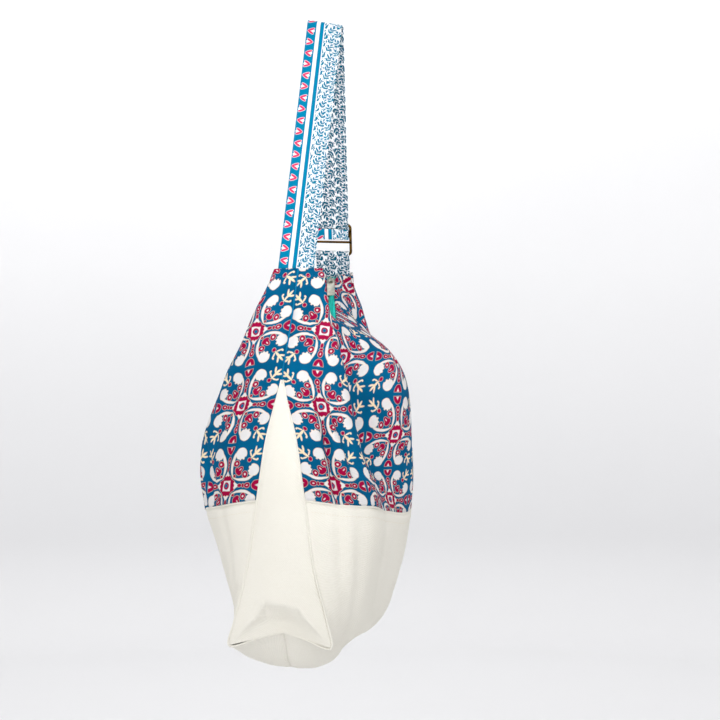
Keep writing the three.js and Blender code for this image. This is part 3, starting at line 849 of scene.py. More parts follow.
# soft swells and hollows: side, station, level, half as wide in stations and levels, height
SWELLS = [
    (-1, 6.0, 0.2, 0.8, 0.5, -5.5), (-1, 4.3, 2.8, 0.9, 0.7, 4), (-1, 4.2, 4.7, 0.9, 0.6, 2.5),
    (-1, 3.4, 6.6, 1.4, 0.45, 7), (-1, 3.4, 7.7, 1.4, 0.45, -6), (1, 1.7, 1.2, 0.8, 0.7, 4.5),
    (1, 1.9, 3.4, 0.8, 0.5, -3), (1, 1.7, 5.6, 0.8, 0.5, -3),
]
# how far the lower seam of the print hangs down from station to station, in levels of 74 mm
DROP_STATIONS, LEVEL_TALL = (0, 1, 1.6, 2.4, 3.2), 74
BASE_DROPS = {-1: (0.035, 0.065, 0.065, 0.04, 0), 1: (0.045, 0.09, 0.12, 0.1, 0.05)}


def base_drop(side, station):
    """How far the seam between print and canvas hangs below its level, in levels."""
    return np.interp(np.minimum(station, LAST - station), DROP_STATIONS, BASE_DROPS[side])


def side_place(side, upper):
    """Places for the printed upper part of a side, or for its canvas lower part."""
    def place(a, b):
        seam = BASE + base_drop(side, LAST * a)
        from_t, to_t = (0, seam) if upper else (seam, SEAM)
        t = mix(from_t + SEAM_INSET, to_t - SEAM_INSET, b)
        inset = CORNER_INSET * smoothstep(t, APEX, APEX + 0.6)
        return skin(side, mix(inset, LAST - inset, a), t)

    return place


print(len(NARROW_CREASES), "narrow creases and", len(SWELLS), "swells")

# %% Relief of the panels
def sewn_edges(arcs_in, arcs_out, dip, width):
    """A dip at both ends of a run of cloth, with a soft swell before it."""
    nearest = np.minimum(arcs_in, arcs_out)
    return -dip * np.exp(-(nearest / width) ** 2) + 0.5 * dip * np.exp(-((nearest / width - 2.2) ** 2))


def narrow_creases(side, net, creases):
    """Sharp little folds in the cloth, each along a straight run on the bag."""
    push = np.zeros(net.shape[:2])
    for crease_side, from_s, from_t, to_s, to_t, depth, width in creases:
        if crease_side == side:
            start, end = skin(side, [from_s, to_s], [from_t, to_t])
            run = end - start
            share = np.clip((net - start) @ run / (run @ run), 0, 1)
            away = np.linalg.norm(net - start - share[:, :, None] * run, axis=2)
            fade = np.sin(math.pi * np.clip(share, 0.04, 0.96)) ** 0.5
            push += depth * fade * np.exp(-(away / width) ** 2)
    return push


def swells(side, station, level):
    """Soft swells and hollows of the stuffed bag."""
    return sum(
        height * np.exp(-((station - s) / wide) ** 2 - ((level - t) / tall) ** 2)
        for swell_side, s, t, wide, tall, height in SWELLS if swell_side == side
    )


# wrinkles: size along x, y and z, depth, seed
PANEL_WRINKLES = [((60, 60, 150), 2.2, 3.1), ((26, 26, 60), 0.9, 8.7)]
SEWN_DIP, SEWN_WIDE, HEM_LIFT, LOW_LIFT, LOW_WIDE = 1.1, 3.0, 0.5, 0.7, 5


def all_wrinkles(net, table, seed):
    return sum(wrinkles(net, stretch, depth, start + seed) for stretch, depth, start in table)


def grid_marks(net, from_level, to_level):
    """The stations and levels of a grid of points."""
    level = np.linspace(from_level, to_level, net.shape[0])
    return np.linspace(0, LAST, net.shape[1]), level[:, None]


def panel_relief(side):
    def relief(net):
        station, level = grid_marks(net, 0, BASE)
        across, down = arcs_of(net, 1), arcs_of(net, 0)
        left = across[:, -1:] - across
        lift = sewn_edges(across, left, SEWN_DIP, SEWN_WIDE)
        lift += HEM_LIFT * (1 - smoothstep(down, HEM - 1.5, HEM))
        lift += LOW_LIFT * np.exp(-((down[-1:] - down) / LOW_WIDE) ** 2)
        lift += all_wrinkles(net, PANEL_WRINKLES, side)
        return lift + swells(side, station, level) + narrow_creases(side, net, NARROW_CREASES)

    return relief


print("the deepest crease is", min(crease[5] for crease in NARROW_CREASES), "mm")

# %% [markdown]
# The print lies on the flat cloth, so each panel is laid flat again. Blender's Unwrap could do it, but its
# islands land anywhere. Here the print is measured upwards from the seam with the canvas and sideways from
# the near end seam, with the slip that the bulge has pulled in. The rest then relaxes: each little cell
# turns as it likes but keeps its size, so no part of the print folds over or stretches.

# %% Print layout
# the print at the near end seam in tiles, its first row of medallions and a row's height in millimetres
PRINT_START = {-1: (0.554, 16.1, 85.3), 1: (0.53, 12.7, 88.0)}
# on the bulge: heights in millimetres, how far the print has slipped sideways and its row there, in tiles
BULGE_HEIGHTS = (-70, 14.1, 87.5, 179.9, 270)
BULGE_SLIP, BULGE_ROWS = (0.522, 0.522, 0.123, -0.075, -0.1), (-1, 0, 1, 2, 3)
FACET_END, BULGE_FROM, BULGE_TO, BULGE_TOP, RELAX_STEP = 1.9, 3.1, 4.4, 1.8, 0.12


def relaxed(marks, net, free, turns=2000):
    """Slides the free marks until every little cell has the size and shape that it has on the bag."""
    marks = marks.copy()
    corner, right, under, far = np.s_[:-1, :-1], np.s_[:-1, 1:], np.s_[1:, :-1], np.s_[1:, 1:]
    across, down = net[right] - net[corner], net[under] - net[corner]
    wide = np.linalg.norm(across, axis=2)
    slant = (across * down).sum(2) / wide
    drop = slant - 1j * np.sqrt(np.maximum((down ** 2).sum(2) - slant ** 2, 0))
    steps = [
        (corner, right, wide), (corner, under, drop),
        (corner, far, wide + drop), (under, right, wide - drop),
    ]
    for _ in range(turns):
        turn = sum(np.conj(step) * (marks[b] - marks[a]) for a, b, step in steps)
        turn /= np.maximum(np.abs(turn), 1e-9)
        push = np.zeros_like(marks)
        for a, b, step in steps:
            miss = marks[b] - marks[a] - turn * step
            push[a] += miss
            push[b] -= miss
        marks += RELAX_STEP * push * free
    return marks


def filled_in(marks):
    """The marks of a grid with twice as many cells."""
    for _ in range(2):
        between_rows = (marks[1:] + marks[:-1]) / 2
        finer = np.zeros((2 * len(marks) - 1, marks.shape[1]), complex)
        finer[::2], finer[1::2] = marks, between_rows
        marks = finer.swapaxes(0, 1)
    return marks


def panel_chart(side):
    near_start, row_start, row_tall = PRINT_START[side]

    def chart(net):
        net = net[::2, ::2]
        station, level = grid_marks(net, 0, BASE)
        across, down = arcs_of(net, 1), arcs_of(net, 0)
        rise = down[-1:] - down - LEVEL_TALL * base_drop(side, station)
        sideways, upwards = near_start + across / TILE, (rise - row_start) / row_tall
        held = (station < FACET_END) & (level >= 0)
        if side < 0:
            bulge = smoothstep(station, FACET_END, BULGE_FROM)
            sideways = sideways + bulge * np.interp(rise, BULGE_HEIGHTS, BULGE_SLIP)
            upwards = mix(upwards, np.interp(rise, BULGE_HEIGHTS, BULGE_ROWS), bulge)
            held = held | ((station > BULGE_FROM) & (station < BULGE_TO) & (level > BULGE_TOP))
        marks = filled_in(relaxed((sideways + 1j * upwards) * TILE, net, 1.0 - held))
        return np.stack([marks.real, marks.imag], axis=2)

    return chart


print("the print is held from station", BULGE_FROM, "to", BULGE_TO)

# %% Printed panels
panels = {}
for side_name, side in (("front", -1), ("back", 1)):
    piece, net = cloth(
        f"{side_name}_panel_cotton", PANEL_COLS, PANEL_ROWS, side_place(side, True), [PRINT],
        panel_relief(side), panel_chart(side), COTTON_THICK, turn=side < 0,
    )
    belongs(piece, f"{side_name}_panel")
    panels[side] = net
    wide, tall = arcs_of(net, 1)[:, -1].mean(), arcs_of(net, 0)[-1].mean()
    print(piece.name, "is about", round(wide), "mm wide and", round(tall), "mm tall on the bag")

# %% [markdown]
# ## Canvas base and end gussets
# The base is cut in two halves that wrap under the bag and meet in a seam. The gussets fill the ends from
# a point at the top to a wide foot. The lower seam arches up between the two corners, and what the bag
# carries draws the foot in below a crease. Sculpting would give such a fold too, but a few smooth formulas
# can be read and changed.

# %% Canvas base
BASE_COLS, BASE_ROWS = 160, 72
BASE_CREASES = [
    (-1, 0.95, 4.8, 1.05, 6.2, -2.2, 7), (-1, 1.6, 4.9, 1.9, 7.0, -2.4, 9),
    (-1, 2.9, 4.9, 2.8, 6.8, -2.4, 9), (-1, 1.25, 4.9, 1.5, 6.6, 1.6, 8),
    (1, 0.3, 6.3, 1.2, 6.45, -2.6, 4.5), (1, 1.2, 4.9, 1.0, 6.4, -2.2, 8),
    (-1, 7.0, 4.8, 6.9, 6.4, -3, 7), (1, 7.0, 4.8, 6.9, 6.4, -3, 7),
]
BASE_WRINKLES = [((70, 70, 120), 2.6, 5.3), ((24, 24, 34), 0.8, 1.9)]


def base_relief(side):
    def relief(net):
        station, level = grid_marks(net, BASE, SEAM)
        across, down = arcs_of(net, 1), arcs_of(net, 0)
        left = across[:, -1:] - across
        lift = sewn_edges(across, left, 0.4, 3.2)
        lift += sewn_edges(down, down[-1:] - down, 0.7, 3.0)
        lift += all_wrinkles(net, BASE_WRINKLES, side)
        lift += narrow_creases(side, net, BASE_CREASES)
        return lift + swells(side, station, level)

    return relief


def flat_chart(net):
    return np.stack([arcs_of(net, 1), arcs_of(net, 0)], axis=2)


bases = {}
for side_name, side in (("front", -1), ("back", 1)):
    piece, net = cloth(
        f"{side_name}_base_canvas", BASE_COLS, BASE_ROWS, side_place(side, False), [CANVAS],
        base_relief(side), flat_chart, CANVAS_THICK, turn=side < 0,
    )
    belongs(piece, f"{side_name}_base")
    bases[side] = net
    print(piece.name, "has", len(piece.data.polygons), "faces")

# %% End gussets
GUSSET_TOP, GUSSET_FOOT, GUSSET_GAP = APEX + 0.16, CORNER - 0.045, 0.9
GUSSET_BOW, GUSSET_ARCH = 5, 12
# the fold across the foot of an end: places across from front to back, the levels of its crease there
FOLD_ACROSS, FOLD_LEVELS = (-1, -0.41, 0.37, 1), (CORNER, 6.72, 6.58, CORNER)
FOLD_DEPTH, FOLD_ASIDE, FOLD_WIDE = 7.5, 0.05, 0.42
GUSSET_COLS, GUSSET_ROWS = 56, 120
GUSSET_WRINKLES = [((50, 40, 110), 2.0, 2.2), ((22, 22, 30), 0.8, 6.4)]


def foot_fold(v, t):
    """How far the cloth below the crease is drawn in, at v from -1 in front to 1 behind."""
    crease = np.interp(v, FOLD_ACROSS, FOLD_LEVELS)
    below = np.clip((t - crease) / np.maximum(CORNER - crease, 0.05), 0, 1)
    dent = FOLD_DEPTH * np.exp(-((v - FOLD_ASIDE) / FOLD_WIDE) ** 2) * 6.75 * below * (1 - below) ** 2
    return foot_pull(1 - np.abs(v)) * (1 - (1 - below) ** 2) + dent


def gusset_place(end):
    station = 0 if end < 0 else LAST

    def place(a, b):
        t = mix(GUSSET_TOP, GUSSET_FOOT, b)
        front, back = (smooth_skin(side, np.full_like(t, station), t) for side in (-1, 1))
        half = np.linalg.norm(front - back, axis=1) / 2
        inset = GUSSET_GAP / (2 * half)
        point = front + (back - front) * mix(inset, 1 - inset, a)[:, None]
        v = 2 * a - 1
        rise = smoothstep(t, min(FOLD_LEVELS) - 0.3, CORNER)
        foot = smoothstep(t, CORNER - 0.5, GUSSET_FOOT)
        bow = GUSSET_BOW * (1 - v * v) * smoothstep(half, 4, 25) * (1 - rise)
        point[:, 0] += end * (bow - foot_fold(v, t))
        point[:, 2] += GUSSET_ARCH * mix(1 - v * v, 1 - np.abs(v), foot) * rise
        return point + (0, BAG_SHIFT, 0)

    return place


def gusset_relief(end):
    def relief(net):
        across = arcs_of(net, 1)
        lift = sewn_edges(across, across[:, -1:] - across, 0.3, 3.0)
        wide = smoothstep(across[:, -1:], 20, 70)
        return lift + wide * all_wrinkles(net, GUSSET_WRINKLES, end)

    return relief


for name, end in (("gusset_near", -1), ("gusset_far", 1)):
    piece, net = cloth(
        f"{name}_canvas", GUSSET_COLS, GUSSET_ROWS, gusset_place(end), [CANVAS], gusset_relief(end),
        flat_chart, CANVAS_THICK, turn=end > 0,
    )
    belongs(piece, name)
print("the foot of an end is drawn in by", FOOT_PULL, "mm")

# %% [markdown]
# ## Seams
# Where canvas meets canvas, the seam stands up as a soft roll, and a roll of cloth also closes the small
# gaps that the solids keep between their pieces. Rows of real stitches run beside them.

# %% Seam rolls
# radii of the rolls, and how far those at the ends stand out
GUSSET_ROLL, END_ROLL, BOTTOM_ROLL, BASE_ROLL = 1.05, 0.9, 1.0, 1.15
GUSSET_ROLL_OUT, END_ROLL_OUT, END_SEAM_FOOT = 0.2, 0.5, APEX + 0.1


def end_seam(side, end, from_t, to_t, count):
    t = np.linspace(from_t, to_t, count)
    path = skin(side, np.full_like(t, 0.0 if end < 0 else LAST), t)
    path[:, 0] += end * GUSSET_ROLL_OUT * smoothstep(t, APEX, BASE)
    return path


for end_name, end in (("near", -1), ("far", 1)):
    front = end_seam(-1, end, END_SEAM_FOOT, SEAM, 120)
    back = end_seam(1, end, SEAM, END_SEAM_FOOT, 120)
    path = np.concatenate([front[:-1], back])
    belongs(roll(f"gusset_seam_{end_name}", path, GUSSET_ROLL, CANVAS))
    t = np.linspace(0.03, END_SEAM_FOOT, 60)
    station = np.full_like(t, 0.0 if end < 0 else LAST)
    closing = (skin(-1, station, t) + skin(1, station, t)) / 2
    closing[:, 0] += end * END_ROLL_OUT
    belongs(roll(f"end_seam_{end_name}", closing, END_ROLL, SEAM_COTTON))

bottom = (bases[-1][-1] + bases[1][-1]) / 2
belongs(roll("bottom_seam", bottom, BOTTOM_ROLL, CANVAS))
for side_name, side in (("front", -1), ("back", 1)):
    matching = np.linspace(0, BASE_COLS, PANEL_COLS + 1).astype(int)
    path = (panels[side][-1] + bases[side][0][matching]) / 2
    belongs(roll(f"{side_name}_base_seam", path, BASE_ROLL, CANVAS))
print("the bottom seam is", round(lengths_of(bottom)[-1]), "mm long")

# %% Stitches
HEM_ROW, BASE_ROW, STITCH_LIFT = 4, 2, 0.12


def row_line(net, row, outward, lift, skip=2):
    normal = normals_of(net)[row] * outward
    return net[row][skip:-skip] + normal[skip:-skip] * lift, normal[skip:-skip]


for side_name, side in (("front", -1), ("back", 1)):
    path, normal = row_line(panels[side], HEM_ROW, side, COTTON_THICK / 2 + STITCH_LIFT)
    belongs(stitch_line(f"{side_name}_mouth_stitches", path, normal, BLUE_THREAD))
    path, normal = row_line(bases[side], BASE_ROW, side, CANVAS_THICK / 2 + STITCH_LIFT)
    belongs(stitch_line(f"{side_name}_base_stitches", path, normal, CREAM_THREAD))
print("the mouth is hemmed", HEM, "mm deep")

# %% [markdown]
# ## Strap
# The strap is a flat band of folded cloth. It could be a curve with a bevel, but a grid along its path
# gives exact UVs: across from its back edge and along from its near foot, in millimetres. The solidified
# inner face takes the second material, because the border shows only outside.

# %% Path of the strap
STRAP_THICK, BEND_RADIUS, FOOT_TUCK, FOOT_SPLAY = 1.6, 6, 13, 1.4
FOLD_TILT, FOLD_FADE, NEAR_DRIFT = 0.19, 70, 3.5
LEAN = BAG_SHIFT / NEAR_DROP
SLIDER_WIDE, SLIDER_THICK, SIDE_BAR, SLIDER_RISE, SLIDER_CLEAR = 47.6, 2, 3.2, 19.5, 0.4
BAR_HEIGHTS = {"top": 2.4, "weave": 6, "sewing": 8.4, "turn": 4.4, "bare": 2.4, "open": 12.4, "bottom": 3}
LOOP_SINK, RUN_IN, TAIL_OVER, SHORT_HEM, SHORT_JOIN, SHORT_LIFT = 0.4, 13, 2.4, 6, 9, 0.8
BEND_LINE = BEND_RADIUS + STRAP_THICK / 2
STRAP_OFF = SLIDER_THICK / 2 + SLIDER_CLEAR + STRAP_THICK / 2


def strap_run(foot):
    """A foot of the strap, the way up from it, and where its straight run meets the bend."""
    foot = np.array(foot, float)
    to_centre = np.array((0.0, -BEND_RADIUS)) - foot
    far = np.linalg.norm(to_centre)
    swing = -math.copysign(math.asin(BEND_LINE / far), foot[0])
    c, s = math.cos(swing), math.sin(swing)
    up = np.array((c * to_centre[0] - s * to_centre[1], s * to_centre[0] + c * to_centre[1])) / far
    return foot, up, foot + up * math.sqrt(far * far - BEND_LINE * BEND_LINE)


near_foot, near_up, near_top = strap_run((-FOOT_REACH, -NEAR_DROP))
far_foot, far_up, far_top = strap_run((FOOT_REACH, -FAR_DROP))
inward = np.array((-far_up[1], far_up[0]))


def far_spot(up, into):
    return far_foot + far_up * up + inward * into


bar_tops = {}
height = SLIDER_RISE + sum(BAR_HEIGHTS.values())
for bar, tall in BAR_HEIGHTS.items():
    bar_tops[bar] = height
    height -= tall


print("the slider is", round(bar_tops["top"] - SLIDER_RISE, 1), "mm tall")

# %% Path helpers
def loop_spots(rise, sense):
    angles = np.linspace(0, math.pi, 13)
    return [far_spot(rise + sense * STRAP_OFF * math.sin(a), -STRAP_OFF * math.cos(a)) for a in angles]


def evenly(start, end, step):
    count = max(2, int(np.linalg.norm(np.subtract(end, start)) / step))
    return [mix(np.asarray(start), np.asarray(end), k / count) for k in range(count)]


def bezier(p0, p1, p2, p3, count):
    return [
        (1 - k) ** 3 * p0 + 3 * k * (1 - k) ** 2 * p1 + 3 * k * k * (1 - k) * p2 + k ** 3 * p3
        for k in np.linspace(0, 1, count)
    ]


def strap_place(spots):
    """Lays a band over the path, leaning sideways as the bag does."""
    spots = np.array(spots)
    rows = len(spots) - 1

    def place(a, b):
        spot = spots[np.clip(np.rint(b * rows).astype(int), 0, rows)]
        across = mix(STRAP_WIDE / 2, -STRAP_WIDE / 2, a)
        drop = np.maximum(0, -spot[:, 1])
        tip = FOLD_TILT * across * np.exp(-drop / FOLD_FADE)
        square = LEAN * across * smoothstep(drop, 0, FOLD_FADE)
        up = np.where(spot[:, :1] < 0, near_up, far_up)
        aside = across + LEAN * drop + np.where(spot[:, 0] < 0, NEAR_DRIFT * drop / NEAR_DROP, 0)
        x, z = spot[:, 0] + up[:, 0] * square, spot[:, 1] + up[:, 1] * square + tip
        return np.stack([x, aside, z], axis=1)

    return place, rows


def strap_chart(start):
    def chart(net):
        return np.stack([arcs_of(net, 1), arcs_of(net, 0) + start], axis=2)

    return chart


print("the strap's runs meet its bend at", near_top.round(1), far_top.round(1))

# %% Long and short strap
start_angle = math.atan2(near_top[1] + BEND_RADIUS, near_top[0])
end_angle = math.atan2(far_top[1] + BEND_RADIUS, far_top[0])
bend = [
    np.array((BEND_LINE * math.cos(a), BEND_LINE * math.sin(a) - BEND_RADIUS))
    for a in np.linspace(start_angle, end_angle, 17)
]
weave_from, weave_to = bar_tops["weave"] + 1, bar_tops["sewing"] - 1
long_path = [
    *evenly(near_foot + (-FOOT_SPLAY, -FOOT_TUCK), near_foot, 3.0),
    *evenly(near_foot, near_top, 3.0),
    *bend[:-1],
    *evenly(far_top, far_spot(bar_tops["top"] + RUN_IN, 0), 3.0),
    *evenly(far_spot(bar_tops["top"] + RUN_IN, 0), far_spot(bar_tops["top"], STRAP_OFF), 2.0),
    far_spot(bar_tops["top"], STRAP_OFF),
    *bezier(
        far_spot(weave_from, STRAP_OFF), far_spot(bar_tops["sewing"] + 1, STRAP_OFF),
        far_spot(bar_tops["weave"] - 1, -STRAP_OFF), far_spot(weave_to, -STRAP_OFF), 15,
    ),
    *loop_spots(bar_tops["turn"] + LOOP_SINK, -1),
    far_spot(bar_tops["sewing"] + TAIL_OVER, STRAP_OFF + 0.2),
]
short_path = [
    *evenly(far_foot + (FOOT_SPLAY, -FOOT_TUCK), far_foot, 2.0),
    *evenly(far_foot, far_spot(SHORT_JOIN, SHORT_LIFT), 2.0),
    *evenly(far_spot(SHORT_JOIN, SHORT_LIFT), far_spot(SLIDER_RISE - STRAP_OFF, STRAP_OFF), 2.0),
    *loop_spots(bar_tops["bottom"] - LOOP_SINK, 1)[::-1],
    far_spot(SLIDER_RISE - STRAP_OFF, -STRAP_OFF),
    far_spot(SHORT_HEM, -STRAP_OFF),
]
STRAP_COLS, SHORT_START, EDGE_ROUND = 20, 300, 0.45
straps = {}
for name, path, start, faces in (
    ("strap_long", long_path, 0, [STRAP_OUTER, STRAP_INNER]),
    ("strap_short", short_path, SHORT_START, [STRAP_INNER, STRAP_OUTER]),
):
    place, rows = strap_place(path)
    chart = strap_chart(start)
    piece, net = cloth(f"{name}_band", STRAP_COLS, rows, place, faces, None, chart, STRAP_THICK)
    piece.modifiers["thickness"].material_offset = 1
    piece.modifiers["thickness"].material_offset_rim = 0
    softened = piece.modifiers.new("edges", "BEVEL")
    softened.width = EDGE_ROUND * MM
    softened.segments = 2
    softened.limit_method = "ANGLE"
    softened.angle_limit = math.radians(60)
    belongs(piece, name)
    straps[name] = net
    length = arcs_of(net, 0)[-1, STRAP_COLS // 2]
    print(name, "is", round(length), "mm long")

# %% Strap stitches
STRAP_STITCH_LIFT = 0.1
for name, net in straps.items():
    normals = normals_of(net)
    for edge, column, thread in (("back", 1, BLUE_THREAD), ("front", STRAP_COLS - 1, WHITE_THREAD)):
        line, normal = net[2:-2, column], normals[2:-2, column]
        for face, sense in (("outer", 1), ("inner", -1)):
            path = line + normal * sense * (STRAP_THICK / 2 + STRAP_STITCH_LIFT)
            piece = stitch_line(f"{name}_{edge}_{face}_stitches", path, normal * sense, thread)
            belongs(piece)
print("strap stitches stand", STRAP_STITCH_LIFT, "mm proud")

# %% [markdown]
# ## Strap slider
# The slider is one cast frame with cross bars. The strap weaves through its upper windows and is sewn
# round the wide bar, the short strap loops over the bottom bar. Cast metal has no sharp edges, so the bars
# are rolls with an oval section, run a little into each other, and small knobs cap the sides.

# %% Strap slider
# width and thickness of the frame's section, and sizes of the bars and knobs
FRAME_SECTION, FRAME_ROUND, BAR_THICK, KNOB = (3.2, 2.3), 4, 1.9, 1.75
slider_up = unit(np.array((far_up[0], -LEAN * far_up[1], far_up[1])))
slider_out = unit(np.cross((0.0, 1.0, 0.0), slider_up))
slider_across = np.cross(slider_up, slider_out)
slider_foot = np.array((far_foot[0], LEAN * FAR_DROP, far_foot[1]))


def slider_spot(across, up, out=0.0):
    return slider_foot + slider_across * across + slider_up * up + slider_out * out


def rounded_path(half, low, high, radius):
    corners = ((half, low, -90), (half, high, 0), (-half, high, 90), (-half, low, 180))
    path = []
    for across, up, start in corners:
        x, y = across - math.copysign(radius, across), up + (radius if up == low else -radius)
        for angle in np.radians(np.linspace(start, start + 90, 7)):
            path.append(slider_spot(x + radius * math.cos(angle), y + radius * math.sin(angle)))
    return path + path[:1]


def oval(path, wide, thick):
    """Normals for a bar that lies in the slider's plane."""
    path = np.asarray(path)
    ahead = np.gradient(path, axis=0)
    ahead[0] = ahead[-1] = ahead[1] if np.linalg.norm(path[0] - path[-1]) > 1 else path[1] - path[-2]
    out = np.tile(slider_out, (len(path), 1))
    return np.cross(out, unit(ahead)), out, wide / 2, thick / 2


side_middle = SLIDER_WIDE / 2 - SIDE_BAR / 2
outline = rounded_path(side_middle, SLIDER_RISE + 1.4, bar_tops["top"] - 1.2, FRAME_ROUND)
frame_bar = roll("slider_frame", outline, 1, BRASS, 14, True, oval(outline, *FRAME_SECTION))
belongs(frame_bar, "strap_slider")
inner_half = SLIDER_WIDE / 2 - SIDE_BAR + 0.6
for bar, tall in (("sewing", 8.2), ("bare", 2.8)):
    middle = bar_tops[bar] - BAR_HEIGHTS[bar] / 2
    path = [slider_spot(x, middle) for x in np.linspace(-inner_half, inner_half, 9)]
    piece = roll(f"slider_{bar}_bar", path, 1, BRASS, 16, False, oval(path, tall, BAR_THICK))
    belongs(piece)
bm = bmesh.new()
for hand in (-1, 1):
    for bar in ("sewing", "bare"):
        spot = slider_spot(hand * side_middle, bar_tops[bar] - BAR_HEIGHTS[bar] / 2)
        place = Matrix.Translation(Vector(spot) * MM) @ Matrix.Scale(MM, 4)
        bmesh.ops.create_icosphere(bm, subdivisions=2, radius=KNOB, matrix=place)
belongs(finish_mesh("slider_knobs", bm, [BRASS]))
print("the slider is", SLIDER_WIDE, "mm wide")

# %% [markdown]
# ## Zip
# The closed zip dips with the mouth of the bag. Each tape is woven cloth whose outer edge turns down inside
# the panel. The coil is two interlocking rows of small loops, and the slider and its pull are cast metal.

# %% Zip tapes and coil
ZIP_FROM, ZIP_TO, ZIP_HALF, TAPE_THICK, TAPE_GAP = 3.06, 4.94, 7, 1.0, 0.3
TAPE_COLS, TAPE_ROWS, TURNED_SHARE, TURNED_DEEP, TAPE_SINK = 20, 150, 0.3, 5.5, 0.1
TEETH_THICK, TEETH_HALF = 1.6, 2.6
TOOTH_PITCH, TOOTH_ASIDE, TOOTH_SIZE = 1.3, 0.75, (0.58, 1.75, 0.72)


def mouth(share, s):
    front, back = (smooth_skin(side, s, np.zeros_like(s)) for side in (-1, 1))
    return mix(front, back, np.reshape(share, (-1, 1))) + (0, BAG_SHIFT, 0)


def zip_axes(s):
    across = mouth(np.ones_like(s), s) - mouth(np.zeros_like(s), s)
    along = mouth(np.full_like(s, 0.5), s + 0.02) - mouth(np.full_like(s, 0.5), s - 0.02)
    along, across = unit(along), unit(across)
    return along, across, unit(np.cross(along, across))


def tape_place(edge, middle):
    def place(a, b):
        s = mix(ZIP_FROM, ZIP_TO, b)
        share = mix(edge, middle, np.clip((a - TURNED_SHARE) / (1 - TURNED_SHARE), 0, 1))
        sink = TURNED_DEEP * np.clip(1 - a / TURNED_SHARE, 0, 1)
        return mouth(share, s) - zip_axes(s)[2] * (sink + TAPE_SINK)[:, None]

    return place


tape_edge = TAPE_GAP / (2 * ZIP_HALF)
for name, edge, middle in (
    ("zip_tape_front", 0.1, 0.5 - tape_edge), ("zip_tape_back", 0.9, 0.5 + tape_edge),
):
    piece, net = cloth(
        f"{name}_cloth", TAPE_COLS, TAPE_ROWS, tape_place(edge, middle), [ZIP_TAPE], None, flat_chart,
        TAPE_THICK, turn=edge < 0.5,
    )
    belongs(piece, name)
    wide, long = arcs_of(net, 1)[TAPE_ROWS // 2, -1], arcs_of(net, 0)[-1, TAPE_COLS // 2]
    print(name, "is", round(wide, 1), "mm wide and", round(long), "mm long")

s = np.linspace(ZIP_FROM, ZIP_TO, 600)
middle = mouth(np.full_like(s, 0.5), s)
run = lengths_of(middle)
along, across, out = zip_axes(s)
rise = TAPE_THICK / 2 + TAPE_GAP + TEETH_THICK / 2
bm = bmesh.new()
for k, spot in enumerate(np.arange(1.0, run[-1] - 1.0, TOOTH_PITCH)):
    i = int(np.searchsorted(run, spot))
    hand = 1 if k % 2 else -1
    centre = middle[i] + across[i] * hand * TOOTH_ASIDE + out[i] * rise
    place = placed(centre, (along[i], across[i], out[i]), TOOTH_SIZE)
    bmesh.ops.create_uvsphere(bm, u_segments=8, v_segments=5, radius=1, matrix=place)
coil = finish_mesh("zip_coil_loops", bm, [ZIP_COIL])
belongs(coil, "zip_teeth")
print("zip is", round(run[-1]), "mm long")

# %% Zip slider
SLIDER_STATION = 4.8
SLIDER_LONG, SLIDER_HALF, SLIDER_WALL = 11, 4.4, 1.2
PLATE_HALF, PLATE_ROUND, CHEEK_SHORT, CHEEK_ROUND = 4.2, 0.5, 0.3, 0.35
BRIDGE_WIDE, BRIDGE_LONG, BRIDGE_RISE, BRIDGE_WIRE = 2.4, 8, 4, 1.3
PULL_LONG, PULL_WIDE, PULL_THICK, PULL_ROUND = 26, 9, 1.4, 0.55
PULL_HOLE_HALF, PULL_HOLE_LONG, PULL_RIM, PULL_CLEAR = 2.3, 4, 0.7, 0.5
teeth_top = TAPE_THICK / 2 + TAPE_GAP + TEETH_THICK
slider_under = teeth_top + TAPE_GAP
hinge_rise = slider_under + SLIDER_WALL + (BRIDGE_RISE - BRIDGE_WIRE) / 2
hinge_along = 2 * BRIDGE_WIRE - BRIDGE_LONG / 2
at = np.array([SLIDER_STATION])
half_way = np.array([0.5])
zip_along = unit(mouth(half_way, at + 0.03)[0] - mouth(half_way, at - 0.03)[0])
zip_out = unit(np.cross(zip_along, (0.0, 1.0, 0.0)))
zip_across = np.cross(zip_out, zip_along)
zip_origin = mouth(half_way, at)[0]
ZIP_PLACE = placed(zip_origin, (zip_along, zip_across, zip_out))


def zip_spot(x, y, z):
    return zip_origin + zip_along * x + zip_across * y + zip_out * z


def soft_block(bm, low, high, bevel, place):
    """A cube between two corners with rounded edges."""
    low, high = np.array(low, float), np.array(high, float)
    made = bmesh.ops.create_cube(bm, size=1)["verts"]
    for vert in made:
        vert.co = Vector((low + high) / 2 + np.array(vert.co) * (high - low))
    edges = list({edge for vert in made for edge in vert.link_edges})
    rounded = bmesh.ops.bevel(
        bm, geom=edges, offset=bevel, offset_type="OFFSET", segments=3, profile=0.5, affect="EDGES",
        material=-1,
    )
    verts = {vert for face in rounded["faces"] for vert in face.verts}
    verts |= {vert for vert in made if vert.is_valid}
    bmesh.ops.transform(bm, matrix=place, verts=list(verts))


